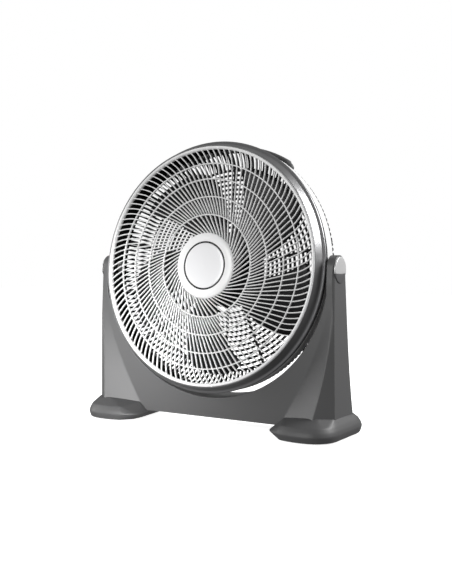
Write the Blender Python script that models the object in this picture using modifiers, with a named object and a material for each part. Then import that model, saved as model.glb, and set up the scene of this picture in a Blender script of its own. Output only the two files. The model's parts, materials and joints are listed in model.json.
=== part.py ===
"""Round-headed floor fan on a U-shaped stand, with a head that tilts on two side pivots.

Metres, +Z up, the front of the fan faces -Y. The origin is on the floor, under the middle of the whole fan, and
TILT_AXIS_Y is how far in front of it the tilt axis is. The stand is drawn about the tilt axis, then moved.
The head is built in its own frame, an empty on the tilt axis: local Z points out of the front of the fan
along the rotor's axis, local X is the tilt axis and local Y is up along the face.
"""

from math import asin, cos, pi, radians, sin, sqrt

import bmesh
import bpy
from mathutils import Matrix, Vector

# Driving dimensions.
PIVOT_HEIGHT = 0.338
TILT_AXIS_Y = -0.0224
TILT_AT_REST = radians(6.0)
GRILLE_RADIUS = 0.2524
LEG_OUTER_X = GRILLE_RADIUS + 0.0382
ARM_OUTER_X = GRILLE_RADIUS + 0.0348
ARM_INNER_X = GRILLE_RADIUS + 0.0176
WALL = 0.0028
CLEARANCE = 0.0004
SEAT_GAP = 0.0003

# Head, as radii and as places along its axis.
GRILLE_FRONT = 0.0457
SKIRT_WALL = 0.0029
SKIRT_REAR = 0.0188
LATTICE_BACK = 0.0385
LATTICE_THICKNESS = 0.0035
HUB_RADIUS = 0.0700
BADGE_RADIUS = 0.0500
RING_RADII = tuple(GRILLE_RADIUS * share for share in (0.4271, 0.5773, 0.7270, 0.8566))
RING_WIDTH = 0.0028
SPOKE_WIDTH = 0.0026
SPOKE_COUNT = 38
SPOKE_SLANT_AT = (HUB_RADIUS, RING_RADII[0], RING_RADII[3], RING_RADII[3] + 0.0008, GRILLE_RADIUS - 0.0024)
SPOKE_SLANT = (0.95, 0.52, 0.27, 0.42, 0.68)
TRIM_RADIUS = GRILLE_RADIUS + 0.0141
TRIM_WALL = 0.0020
BAND_RADIUS = GRILLE_RADIUS + 0.0112
BAND_WALL = 0.0026
BAND_FRONT = 0.0205
BAND_REAR = -0.0170
GUARD_BACK = -0.0660
GUARD_FLAT_RADIUS = GRILLE_RADIUS - 0.0574
GUARD_RIB_COUNT = 14
GUARD_RIB_WIDTH = 0.0030
GUARD_THICKNESS = 0.0045
GUARD_RING_RADII = tuple(BAND_RADIUS * share for share in (0.8915, 0.7018, 0.5121))
TRIM_SCREW_COUNT = 6
TRIM_SCREW_RADIUS = GRILLE_RADIUS + 0.0038
TRIM_BOSS_RADIUS = 0.0031

# Fan and motor.
BLADE_COUNT = 5
BLADE_START = radians(34.0)
BLADE_RADIUS = GRILLE_RADIUS - 0.0244
BLADE_HUB_RADIUS = 0.0430
BLADE_HUB_FRONT = 0.0020
BLADE_HUB_DEPTH = 0.0420
BLADE_WALL = 0.0024
SHAFT_RADIUS = 0.0040
SHAFT_FRONT = 0.0120
SHAFT_REAR = -0.1055
MOTOR_COVER_RADIUS = 0.0640
GUARD_HUB_RADIUS = MOTOR_COVER_RADIUS + 0.0200
MOTOR_COVER_REAR = -0.1185
STATOR_OUTER = MOTOR_COVER_RADIUS * 0.6875
STATOR_INNER = MOTOR_COVER_RADIUS * 0.4453
STATOR_SPAN = (-0.0980, -0.0780)
BEARING_RADIUS = 0.0110
BEARING_DEPTH = 0.0050
KNOB_RADIUS = 0.0170
KNOB_DEPTH = 0.0150
KNOB_BELOW_AXIS = 0.0340
SWITCH_DEPTH = 0.0090
GLAND_BORE_RADIUS = 0.0034
GLAND_PLACE = -0.0900

# Handle, a bar that follows the top of the head.
HANDLE_TUBE = 0.0072
HANDLE_OUTER_RADIUS = GRILLE_RADIUS + 0.0186
HANDLE_HALF_ANGLE = radians(37.0)
HANDLE_BEHIND = -0.0520

# Stand.
CUTOUT_RADIUS = GRILLE_RADIUS + 0.0226
PANEL_FRONT_Y = -0.0285
PANEL_BOTTOM = 0.0205
ARM_TOP_RADIUS = 0.0260
ARM_REAR_SLOPE = 0.090
ARM_REAR_CURVE = 1.45
ARM_CHAMFER = 0.0085
ARM_CHAMFER_RUN = 0.1500
BUTTRESS_TOP_DROP = 0.0600
BUTTRESS_RUN = 0.2575
BUTTRESS_OUTREACH = 0.0380
BUTTRESS_INSET = 0.0350
BUTTRESS_SPREAD = 0.1100
FOOT_CENTRE_X = LEG_OUTER_X - 0.0556
FOOT_LIFT = 0.0030
FOOT_EDGE = 0.0120
FOOT_SHOULDER = 0.0285
PAD_RADIUS = 0.0100
COVER_SCREW_HEIGHT = 0.0450
PIVOT_RADIUS = 0.0080
PIVOT_BOSS_RADIUS = 0.0165
PIVOT_CAP_RADIUS = 0.0262
PIVOT_CAP_DROP = 0.0030
PIVOT_CAP_SPLIT = -0.0100
PIVOT_CAP_PROUD = 0.0034

OBJECT_NAME = "box_fan"
SIDES = (("left", -1.0), ("right", 1.0))


# ---------------------------------------------------------------- scene and materials

def clear_scene():
    for old in list(bpy.data.objects):
        bpy.data.objects.remove(old, do_unlink=True)


def new_collection(name):
    made = bpy.data.collections.new(name)
    bpy.context.scene.collection.children.link(made)
    return made


def new_material(name, colour, roughness, metallic=0.0):
    made = bpy.data.materials.new(name)
    made.use_nodes = True
    shader = made.node_tree.nodes["Principled BSDF"]
    shader.inputs["Base Color"].default_value = (*colour, 1.0)
    shader.inputs["Roughness"].default_value = roughness
    shader.inputs["Metallic"].default_value = metallic
    return made


clear_scene()
PARTS = new_collection(OBJECT_NAME)
CUTTERS = new_collection("cutters")
CUTTERS.hide_render = True

STAND_GREY = new_material("stand_grey", (0.115, 0.115, 0.118), 0.55)
GRILLE_WHITE = new_material("grille_white", (0.80, 0.80, 0.80), 0.35)
GUARD_WHITE = new_material("guard_white", (0.72, 0.72, 0.72), 0.40)
SILVER = new_material("silver", (0.55, 0.55, 0.56), 0.28, 0.85)
BADGE_WHITE = new_material("badge_white", (0.78, 0.78, 0.78), 0.30)
BLADE_GREY = new_material("blade_grey", (0.045, 0.045, 0.048), 0.40)
HOUSING_WHITE = new_material("housing_white", (0.60, 0.60, 0.60), 0.45)
STEEL = new_material("steel", (0.50, 0.50, 0.50), 0.30, 1.0)
RUBBER = new_material("rubber", (0.03, 0.03, 0.03), 0.80)
COPPER = new_material("winding", (0.30, 0.14, 0.07), 0.45, 0.6)
SWITCH_BLACK = new_material("switch_black", (0.04, 0.04, 0.04), 0.50)


# ---------------------------------------------------------------- shape helpers

def add_object(name, mesh, material, parent=None, collection=None):
    made = bpy.data.objects.new(name, mesh)
    (collection or PARTS).objects.link(made)
    made.data.materials.append(material)
    made.parent = parent
    return made


def as_cutter(obj):
    PARTS.objects.unlink(obj)
    CUTTERS.objects.link(obj)
    obj.hide_render = True
    obj.display_type = "WIRE"
    return obj


def smooth(obj, angle=35.0):
    obj.data.shade_smooth()
    obj.data.set_sharp_from_angle(angle=radians(angle))
    return obj


def boolean(obj, other, operation):
    modifier = obj.modifiers.new(other.name, "BOOLEAN")
    modifier.object = other
    modifier.operation = operation
    return obj


def cut(obj, cutter):
    return boolean(obj, cutter, "DIFFERENCE")


def join(obj, other):
    return boolean(obj, other, "UNION")


def apply_modifiers(obj):
    """The object with its modifiers made part of its mesh."""
    graph = bpy.context.evaluated_depsgraph_get()
    mesh = bpy.data.meshes.new_from_object(obj.evaluated_get(graph))
    obj.modifiers.clear()
    obj.data = mesh
    return obj


def box(name, low, high, material, parent=None):
    mesh = bpy.data.meshes.new(name)
    shape = bmesh.new()
    bmesh.ops.create_cube(shape, size=1.0)
    size = [b - a for a, b in zip(low, high)]
    centre = [(a + b) / 2 for a, b in zip(low, high)]
    bmesh.ops.scale(shape, vec=size, verts=shape.verts)
    bmesh.ops.translate(shape, vec=centre, verts=shape.verts)
    shape.to_mesh(mesh)
    shape.free()
    return add_object(name, mesh, material, parent)


def cylinder(name, radius, low, high, material, parent=None, axis="Z", at=(0, 0), segments=32, tip=None):
    """A cylinder or cone between two places on an axis; at is its centre on the other two, in X, Y, Z order."""
    mesh = bpy.data.meshes.new(name)
    shape = bmesh.new()
    bmesh.ops.create_cone(
        shape, cap_ends=True, segments=segments, radius1=radius,
        radius2=radius if tip is None else tip, depth=high - low,
    )
    bmesh.ops.translate(shape, vec=(0, 0, (low + high) / 2), verts=shape.verts)
    if axis == "X":
        turn = Matrix(((0, 0, 1), (1, 0, 0), (0, 1, 0)))
        place = (0, *at)
    elif axis == "Y":
        turn = Matrix(((0, 1, 0), (0, 0, 1), (1, 0, 0)))
        place = (at[0], 0, at[1])
    else:
        turn = Matrix.Identity(3)
        place = (*at, 0)
    bmesh.ops.transform(shape, matrix=turn.to_4x4(), verts=shape.verts)
    bmesh.ops.translate(shape, vec=place, verts=shape.verts)
    shape.to_mesh(mesh)
    shape.free()
    return smooth(add_object(name, mesh, material, parent))


def turned(name, profile, material, parent=None, segments=64):
    """A closed profile of (radius, height) turned about local Z; it runs down the outer side, then up inside."""
    mesh = bpy.data.meshes.new(name)
    points = [(r, 0.0, z) for r, z in profile]
    pairs = [(i, (i + 1) % len(points)) for i in range(len(points))]
    edges = [(a, b) for a, b in pairs if points[a][0] > 0 or points[b][0] > 0]
    mesh.from_pydata(points, edges, [])
    made = add_object(name, mesh, material, parent)
    screw = made.modifiers.new("turn", "SCREW")
    screw.steps = segments
    screw.render_steps = segments
    screw.use_merge_vertices = True
    screw.merge_threshold = 0.00001
    screw.use_smooth_shade = False
    return smooth(apply_modifiers(made))


def flat_shape(name, outlines, low, high, material, parent=None, turn=None):
    """Closed outlines filled and extruded from low to high along local Z, then turned into place."""
    curve = bpy.data.curves.new(name, "CURVE")
    curve.dimensions = "2D"
    curve.fill_mode = "BOTH"
    curve.extrude = (high - low) / 2
    for outline in outlines:
        spline = curve.splines.new("POLY")
        spline.points.add(len(outline) - 1)
        for point, (x, y) in zip(spline.points, outline):
            point.co = (x, y, 0.0, 1.0)
        spline.use_cyclic_u = True
    source = bpy.data.objects.new(name + "_outline", curve)
    PARTS.objects.link(source)
    graph = bpy.context.evaluated_depsgraph_get()
    mesh = bpy.data.meshes.new_from_object(source.evaluated_get(graph))
    bpy.data.objects.remove(source)
    shape = bmesh.new()
    shape.from_mesh(mesh)
    bmesh.ops.remove_doubles(shape, verts=shape.verts, dist=0.00001)
    bmesh.ops.translate(shape, vec=(0, 0, (low + high) / 2), verts=shape.verts)
    if turn is not None:
        bmesh.ops.transform(shape, matrix=turn.to_4x4(), verts=shape.verts)
    bmesh.ops.recalc_face_normals(shape, faces=shape.faces)
    shape.to_mesh(mesh)
    shape.free()
    mesh.materials.clear()
    return add_object(name, mesh, material, parent)


def hull(name, points, material, parent=None):
    """The convex body around the points."""
    mesh = bpy.data.meshes.new(name)
    shape = bmesh.new()
    for point in points:
        shape.verts.new(point)
    bmesh.ops.remove_doubles(shape, verts=shape.verts, dist=0.00001)
    result = bmesh.ops.convex_hull(shape, input=shape.verts)
    spare = {g for g in result["geom_interior"] if isinstance(g, bmesh.types.BMVert)}
    bmesh.ops.delete(shape, geom=list(spare), context="VERTS")
    bmesh.ops.recalc_face_normals(shape, faces=shape.faces)
    shape.to_mesh(mesh)
    shape.free()
    return add_object(name, mesh, material, parent)


def arc(radius, start, end, count, centre=(0.0, 0.0)):
    """Points on an arc, both ends included; angles in radians."""
    steps = [start + (end - start) * i / (count - 1) for i in range(count)]
    return [(centre[0] + radius * cos(a), centre[1] + radius * sin(a)) for a in steps]


def between(value, places, values):
    """The value of a line through the points (places, values)."""
    for i in range(len(places) - 1):
        if value <= places[i + 1]:
            share = (value - places[i]) / (places[i + 1] - places[i])
            return values[i] + (values[i + 1] - values[i]) * share
    return values[-1]


def repeat(obj, places):
    """Replaces the object's mesh with one copy of it at each place."""
    single = obj.data.copy()
    shape = bmesh.new()
    for place in places:
        copy = single.copy()
        copy.transform(place)
        shape.from_mesh(copy)
        bpy.data.meshes.remove(copy)
    shape.to_mesh(obj.data)
    shape.free()
    bpy.data.meshes.remove(single)


FRONT_VIEW = Matrix(((1, 0, 0), (0, 0, -1), (0, 1, 0)))
SIDE_VIEW = Matrix(((0, 0, 1), (1, 0, 0), (0, 1, 0)))


# ---------------------------------------------------------------- stand

def cutout_meets_arm(inset):
    """Height at which the round cut-out meets the arm's straight inner side."""
    radius = CUTOUT_RADIUS + inset
    inner_x = ARM_INNER_X + inset
    return PIVOT_HEIGHT - sqrt(radius * radius - inner_x * inner_x)


def stand_outline(inset):
    """Front view of the stand, a U, moved inwards by inset."""
    outer = LEG_OUTER_X - inset
    arm = ARM_OUTER_X - inset
    inner = ARM_INNER_X + inset
    top = PIVOT_HEIGHT + ARM_TOP_RADIUS + 0.002
    meet = cutout_meets_arm(inset)
    radius = CUTOUT_RADIUS + inset
    angle = asin((PIVOT_HEIGHT - meet) / radius)
    bottom = PANEL_BOTTOM + inset
    arch = arc(radius, -angle, -pi + angle, 40, (0.0, PIVOT_HEIGHT))
    return [(-outer, bottom), (outer, bottom), (arm, top), (inner, top)] + arch + [(-inner, top), (-arm, top)]


def rear_y(z):
    """The rear edge of the stand seen from the side: upright at the arms' tops, further back near the floor."""
    drop = PIVOT_HEIGHT - z
    return ARM_TOP_RADIUS + ARM_REAR_SLOPE * drop + ARM_REAR_CURVE * drop ** 4


def side_profile(inset, rear_extra=0.0):
    """Side view of the stand: a round top on the tilt axis, an upright front and a curved rear."""
    radius = ARM_TOP_RADIUS - inset
    heights = [PIVOT_HEIGHT - (PIVOT_HEIGHT - 0.010) * i / 8 for i in range(9)]
    rear = [(rear_y(z) + rear_extra - (inset if rear_extra <= 0 else 0.0), z) for z in heights]
    if rear_extra > 0:
        top = [(rear[0][0], PIVOT_HEIGHT + radius)]
        top += arc(radius, pi / 2, pi, 9, (0.0, PIVOT_HEIGHT))
    else:
        top = arc(radius, 0.15, pi, 17, (0.0, PIVOT_HEIGHT))
    front = [(PANEL_FRONT_Y + inset, PIVOT_HEIGHT - 0.030), (PANEL_FRONT_Y + inset, 0.010)]
    return list(reversed(rear)) + top + front


def stand_body(name, inset, rear_extra=0.0):
    """The solid that the front and side views share."""
    body = flat_shape(name, [stand_outline(inset)], -0.2, 0.2, STAND_GREY, turn=FRONT_VIEW)
    side = flat_shape(name + "_side", [side_profile(inset, rear_extra)], -0.4, 0.4, STAND_GREY, turn=SIDE_VIEW)
    boolean(body, as_cutter(side), "INTERSECT")
    for label, sign in SIDES:
        cut(body, as_cutter(arm_chamfer(name + "_chamfer_" + label, sign, inset)))
    return apply_modifiers(body)


def arm_chamfer(name, side, inset):
    """A wedge off the arm's outer front edge, wide at the arm's top and gone part way down the leg."""
    past = 0.01
    corners = []
    for z, width in ((PIVOT_HEIGHT + 0.05, ARM_CHAMFER), (PIVOT_HEIGHT - ARM_CHAMFER_RUN, -0.0010)):
        outer = LEG_OUTER_X - (LEG_OUTER_X - ARM_OUTER_X) * (z - PANEL_BOTTOM) / (PIVOT_HEIGHT - PANEL_BOTTOM)
        reach = width + inset * sqrt(2)
        corners += [(side * (outer + past), PANEL_FRONT_Y - past, z),
                    (side * (outer - reach - past), PANEL_FRONT_Y - past, z),
                    (side * (outer + past), PANEL_FRONT_Y + reach + past, z)]
    return hull(name, corners, STAND_GREY)


def buttress(name, side, inset):
    """The ridge on the front of each leg: a triangle that grows towards the foot, lofted down the leg."""
    count = 9
    shape = bmesh.new()
    rings = []
    for i in range(count):
        share = i / (count - 1)
        z = PIVOT_HEIGHT - BUTTRESS_TOP_DROP - (BUTTRESS_RUN - inset) * share
        grow = share ** 2.0
        slant = (PIVOT_HEIGHT - z) / (PIVOT_HEIGHT - PANEL_BOTTOM)
        side_x = ARM_OUTER_X + (LEG_OUTER_X - ARM_OUTER_X) * slant
        outer = side_x - inset
        crest_x = min(side_x - 0.004 - BUTTRESS_INSET * share ** 1.8, outer - 0.0006)
        crest_y = PANEL_FRONT_Y - 0.0006 - BUTTRESS_OUTREACH * grow + inset * 1.4
        inner = min(side_x - 0.012 - BUTTRESS_SPREAD * share ** 1.5 + inset * 2.4, outer - 0.0012)
        back = PANEL_FRONT_Y + WALL * 0.8 + inset * 1.6
        low_front = min(PANEL_FRONT_Y, back) + inset
        corners = [(outer, low_front), (crest_x, min(crest_y, low_front - 0.0002)), (inner, low_front)]
        corners += [(inner, back + inset), (outer, back + inset)]
        rings.append([shape.verts.new((side * x, y, z)) for x, y in corners])
    for upper, lower in zip(rings, rings[1:]):
        for k in range(5):
            j = (k + 1) % 5
            shape.faces.new((upper[k], upper[j], lower[j]))
            shape.faces.new((upper[k], lower[j], lower[k]))
    shape.faces.new(rings[0])
    shape.faces.new(rings[-1])
    bmesh.ops.recalc_face_normals(shape, faces=shape.faces)
    mesh = bpy.data.meshes.new(name)
    shape.to_mesh(mesh)
    shape.free()
    return add_object(name, mesh, STAND_GREY)


def make_stand():
    shell = stand_body("stand_shell", 0.0)
    hollow = as_cutter(stand_body("stand_hollow", WALL, 0.05))
    for label, side in SIDES:
        join(shell, as_cutter(buttress("buttress_" + label, side, 0.0)))
    cut(shell, hollow)
    for label, side in SIDES:
        cut(shell, as_cutter(buttress("buttress_hollow_" + label, side, WALL)))
        inner = side * ARM_INNER_X
        outer = side * ARM_OUTER_X
        low, high = sorted((inner - side * 0.002, inner + side * 0.006))
        hole = cylinder("arm_hole_" + label, PIVOT_RADIUS + 0.0026 + CLEARANCE, low, high, STAND_GREY,
                        axis="X", at=(0.0, PIVOT_HEIGHT))
        cut(shell, as_cutter(hole))
        low, high = sorted((outer + side * 0.002, outer - side * 0.006))
        window = cylinder("cap_hole_" + label, PIVOT_CAP_RADIUS - 0.0030, low, high, STAND_GREY,
                          axis="X", at=(0.0, PIVOT_HEIGHT - PIVOT_CAP_DROP))
        cut(shell, as_cutter(window))
        low, high = sorted((outer + side * 0.002, outer - side * 0.0014))
        recess = cylinder("cap_recess_" + label, PIVOT_CAP_RADIUS + CLEARANCE, low, high, STAND_GREY,
                          axis="X", at=(0.0, PIVOT_HEIGHT - PIVOT_CAP_DROP), segments=40)
        cut(shell, as_cutter(recess))
    apply_modifiers(shell)
    return shell


def make_rear_cover():
    """The plate that closes the stand's open back, inside its walls."""
    inset = WALL + CLEARANCE
    cover = flat_shape("stand_rear_cover", [stand_outline(inset)], -0.2, 0.2, STAND_GREY, turn=FRONT_VIEW)
    heights = [PIVOT_HEIGHT + ARM_TOP_RADIUS - inset - 0.011 - (PIVOT_HEIGHT + 0.010) * i / 9 for i in range(10)]
    outer = [(rear_y(min(z, PIVOT_HEIGHT)) - 0.0004 - max(0.0, z - PIVOT_HEIGHT) * 0.45, z) for z in heights]
    inner = [(y - WALL, z) for y, z in reversed(outer)]
    side = flat_shape("rear_cover_side", [outer + inner], -0.4, 0.4, STAND_GREY, turn=SIDE_VIEW)
    boolean(cover, as_cutter(side), "INTERSECT")
    for label, x in cover_screw_places():
        y = rear_y(COVER_SCREW_HEIGHT)
        hole = cylinder("cover_hole_" + label, 0.0026, y - 0.02, y + 0.02, STAND_GREY,
                        axis="Y", at=(x, COVER_SCREW_HEIGHT), segments=16)
        cut(cover, as_cutter(hole))
    return apply_modifiers(cover)




def cover_screw_places():
    return (("1", -0.235), ("2", -0.080), ("3", 0.080), ("4", 0.235))


def make_cover_screws():
    for label, x in cover_screw_places():
        y = rear_y(COVER_SCREW_HEIGHT)
        head = cylinder("cover_screw_" + label, 0.0022, y - 0.016, y + 0.0012, STEEL,
                        axis="Y", at=(x, COVER_SCREW_HEIGHT), segments=10)
        cap = cylinder("cover_screw_head_" + label, 0.0040, y + 0.0008, y + 0.0030, STEEL,
                       axis="Y", at=(x, COVER_SCREW_HEIGHT), segments=10)
        join(head, as_cutter(cap))
        apply_modifiers(head)


def foot_points(side, inset, floor):
    """Corners of a foot: a sole drawn in under a wide rim, a shoulder above it, and a top that rises to the leg."""
    rim = [(0.068, 0.000), (0.070, 0.040), (0.070, 0.074), (0.056, 0.102), (0.020, 0.110), (-0.020, 0.104),
           (-0.050, 0.084), (-0.066, 0.060), (-0.076, 0.020), (-0.080, -0.015), (-0.079, -0.042), (-0.070, -0.064),
           (-0.040, -0.084), (0.000, -0.091), (0.036, -0.086), (0.058, -0.068), (0.067, -0.042)]
    sole = [(-0.052, 0.060), (-0.054, 0.006), (-0.060, -0.034), (-0.058, -0.056), (-0.034, -0.074), (0.000, -0.082),
            (0.030, -0.076), (0.048, -0.058), (0.054, -0.028), (0.058, 0.040), (0.060, 0.074), (0.048, 0.094),
            (0.015, 0.102), (-0.020, 0.096), (-0.042, 0.076)]
    crown = [(-0.055, -0.029, 0.038), (-0.026, -0.036, 0.042), (0.005, -0.057, 0.046), (0.030, -0.055, 0.047),
             (0.054, -0.030, 0.045), (0.057, 0.066, 0.042), (0.045, 0.085, 0.040), (-0.035, 0.085, 0.038),
             (-0.052, 0.055, 0.038)]
    shoulder = [(x * 0.915, y * 0.925) for x, y in rim if x > -0.045]
    rows = [(rim, FOOT_LIFT + FOOT_EDGE - inset), (shoulder, FOOT_SHOULDER - inset), (sole, floor)]
    corners = [(x, y, z) for row, z in rows for x, y in row] + [(x, y, z - inset) for x, y, z in crown]
    points = []
    for x, y, z in corners:
        share = 1 - inset / sqrt(x * x + y * y)
        points.append((side * (FOOT_CENTRE_X + x * share), y * share, z))
    return points


def make_foot(label, side):
    """A foot is a hollow moulding with a floor; two webs inside it carry the leg that stands in its open top."""
    foot = hull("foot_" + label, foot_points(side, 0.0, FOOT_LIFT), STAND_GREY)
    cut(foot, as_cutter(hull("foot_hollow_" + label, foot_points(side, WALL, FOOT_LIFT + WALL), STAND_GREY)))
    for k, y in enumerate((-0.018, 0.040)):
        ends = sorted((side * (FOOT_CENTRE_X - 0.062), side * (FOOT_CENTRE_X + 0.062)))
        web = box(f"foot_web_{label}_{k}", (ends[0], y - 0.0015, FOOT_LIFT + 0.001),
                  (ends[1], y + 0.0015, FOOT_LIFT + FOOT_EDGE - 0.002), STAND_GREY)
        join(foot, as_cutter(web))
    for k, x in enumerate((-0.030, 0.030)):
        x = side * (FOOT_CENTRE_X + x)
        post = box(f"foot_post_{label}_{k}", (x - 0.0015, -0.0175, FOOT_LIFT + 0.0012),
                   (x + 0.0015, 0.0395, PANEL_BOTTOM - SEAT_GAP), STAND_GREY)
        join(foot, as_cutter(post))
    socket = stand_body("foot_socket_" + label, -CLEARANCE)
    join(socket, as_cutter(buttress("foot_ridge_" + label, side, -CLEARANCE)))
    apply_modifiers(socket)
    cut(foot, as_cutter(socket))
    return apply_modifiers(foot)


def make_pads():
    for label, side in SIDES:
        for place, y in (("front", -0.030), ("rear", 0.050)):
            cylinder(f"foot_pad_{label}_{place}", PAD_RADIUS, 0.0, FOOT_LIFT - SEAT_GAP, RUBBER,
                     at=(side * FOOT_CENTRE_X, y), segments=16)


def make_pivot_side(label, side, head):
    """One side pivot: stud and nut on the head, bush and washer in the arm, and the arm's two-tone cap."""
    inner = ARM_INNER_X

    def rod(name, radius, low, high, material, segments=24, drop=0.0):
        low, high = sorted((side * low, side * high))
        at = (0.0, PIVOT_HEIGHT - drop)
        return cylinder(name, radius, low, high, material, axis="X", at=at, segments=segments)

    bush = rod("pivot_bush_" + label, PIVOT_RADIUS + 0.0026, inner + 0.0004, inner + 0.0090, SWITCH_BLACK)
    flange = rod("bush_flange_" + label, PIVOT_RADIUS + 0.0060, inner + WALL + 0.0003, inner + WALL + 0.0022,
                 SWITCH_BLACK)
    join(bush, as_cutter(flange))
    cut(bush, as_cutter(rod("bush_bore_" + label, PIVOT_RADIUS + 0.0001, inner - 0.002, inner + 0.02, SWITCH_BLACK)))
    apply_modifiers(bush)
    washer = rod("friction_washer_" + label, 0.0150, BAND_RADIUS + 0.0046, inner - SEAT_GAP, RUBBER)
    cut(washer, as_cutter(rod("washer_bore_" + label, PIVOT_RADIUS + 0.0004, inner - 0.02, inner + 0.02, RUBBER)))
    apply_modifiers(washer)
    stud = rod("pivot_stud_" + label, PIVOT_RADIUS, BAND_RADIUS - 0.0120, inner + 0.0120, STEEL)
    disc = rod("stud_disc_" + label, PIVOT_BOSS_RADIUS, BAND_RADIUS + 0.0004, BAND_RADIUS + 0.0043, STEEL)
    join(stud, as_cutter(disc))
    apply_modifiers(stud)
    nut = rod("pivot_nut_" + label, 0.0130, BAND_RADIUS - 0.0095, BAND_RADIUS - 0.0040, STEEL, segments=6)
    cut(nut, as_cutter(rod("nut_bore_" + label, PIVOT_RADIUS + 0.0001, 0.2, 0.3, STEEL)))
    apply_modifiers(nut)
    retainer = rod("pivot_retainer_" + label, 0.0120, inner + 0.0123, inner + 0.0140, STEEL)
    for piece in (stud, nut, retainer):
        hold_in_world(piece, head)
    cap_low = ARM_OUTER_X - 0.0014 + SEAT_GAP
    proud = ARM_OUTER_X + PIVOT_CAP_PROUD
    cap = rod("pivot_cap_" + label, PIVOT_CAP_RADIUS, cap_low, proud, SILVER, 40, PIVOT_CAP_DROP)
    inlay = rod("pivot_cap_inlay_" + label, PIVOT_CAP_RADIUS, cap_low, proud - 0.0006, STAND_GREY, 40, PIVOT_CAP_DROP)
    split = PIVOT_HEIGHT + PIVOT_CAP_SPLIT
    low = box("cap_low_" + label, (-0.4, -0.1, split - 0.1), (0.4, 0.1, split + SEAT_GAP), SILVER)
    high = box("cap_high_" + label, (-0.4, -0.1, split), (0.4, 0.1, split + 0.1), SILVER)
    cut(cap, as_cutter(low))
    cut(inlay, as_cutter(high))
    for piece in (cap, inlay):
        apply_modifiers(piece)


def hold_in_world(obj, parent):
    """Parents the object without moving it."""
    bpy.context.view_layer.update()
    obj.parent = parent
    obj.matrix_parent_inverse = parent.matrix_world.inverted()


# ---------------------------------------------------------------- front of the head

def spoke_angle(radius):
    """How far round a swirling spoke has turned at this radius: the slant from the radial line, summed outwards."""
    steps = 40
    total = 0.0
    start = SPOKE_SLANT_AT[0]
    for i in range(steps):
        r = start + (radius - start) * (i + 0.5) / steps
        total += between(r, SPOKE_SLANT_AT, SPOKE_SLANT) / r * (radius - start) / steps
    return total


def lattice_hole(low, high, turn):
    """The gap between two neighbouring spokes and two rings."""
    pitch = 2 * pi / SPOKE_COUNT

    def edge(r, which):
        slant = between(r, SPOKE_SLANT_AT, SPOKE_SLANT)
        half = SPOKE_WIDTH / 2 * sqrt(1 + slant * slant) / r
        angle = turn + spoke_angle(r) + (half if which == 0 else pitch - half)
        return r * cos(angle), r * sin(angle)

    return [edge(low, 0), edge(high, 0), edge(high, 1), edge(low, 1)]


def make_grille(head):
    half = RING_WIDTH / 2
    edges = [HUB_RADIUS] + list(RING_RADII) + [GRILLE_RADIUS - SKIRT_WALL]
    outlines = [arc(GRILLE_RADIUS - 0.0012, 0.0, 2 * pi * 71 / 72, 72)]
    for k in range(len(edges) - 1):
        low = edges[k] + (0.0 if k == 0 else half)
        high = edges[k + 1] - (half if k < len(edges) - 2 else 0.0)
        for i in range(SPOKE_COUNT):
            outlines.append(lattice_hole(low, high, 2 * pi * i / SPOKE_COUNT))
    grille = flat_shape("grille_front", outlines, LATTICE_BACK, LATTICE_BACK + LATTICE_THICKNESS,
                        GRILLE_WHITE, head)
    outer, inner = GRILLE_RADIUS, GRILLE_RADIUS - SKIRT_WALL
    skirt = turned("grille_skirt", [(outer - 0.001, GRILLE_FRONT), (outer, GRILLE_FRONT - 0.001), (outer, SKIRT_REAR),
                                    (inner, SKIRT_REAR), (inner, GRILLE_FRONT - 0.0005)], GRILLE_WHITE, head, 72)
    join(grille, as_cutter(skirt))
    apply_modifiers(grille)
    return grille


def make_hub(head):
    front = LATTICE_BACK + LATTICE_THICKNESS + SEAT_GAP
    lip = BADGE_RADIUS + CLEARANCE
    turned("hub_cap", [(lip, front + 0.0032), (HUB_RADIUS - 0.0060, front + 0.0030), (HUB_RADIUS - 0.0010, front + 0.0016),
                       (HUB_RADIUS - 0.0005, front), (0.0, front), (0.0, front + 0.0010), (lip, front + 0.0010)],
           GRILLE_WHITE, head, 40)
    seat = front + 0.0010 + SEAT_GAP
    turned("hub_badge", [(0.0, seat + 0.0030), (BADGE_RADIUS * 0.6, seat + 0.0028),
                         (BADGE_RADIUS - 0.0014, seat + 0.0022),
                         (BADGE_RADIUS, seat + 0.0012), (BADGE_RADIUS, seat), (0.0, seat)],
           BADGE_WHITE, head, 40)


def trim_screw_angles():
    return [2 * pi * (i + 0.5) / TRIM_SCREW_COUNT for i in range(TRIM_SCREW_COUNT)]




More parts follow.
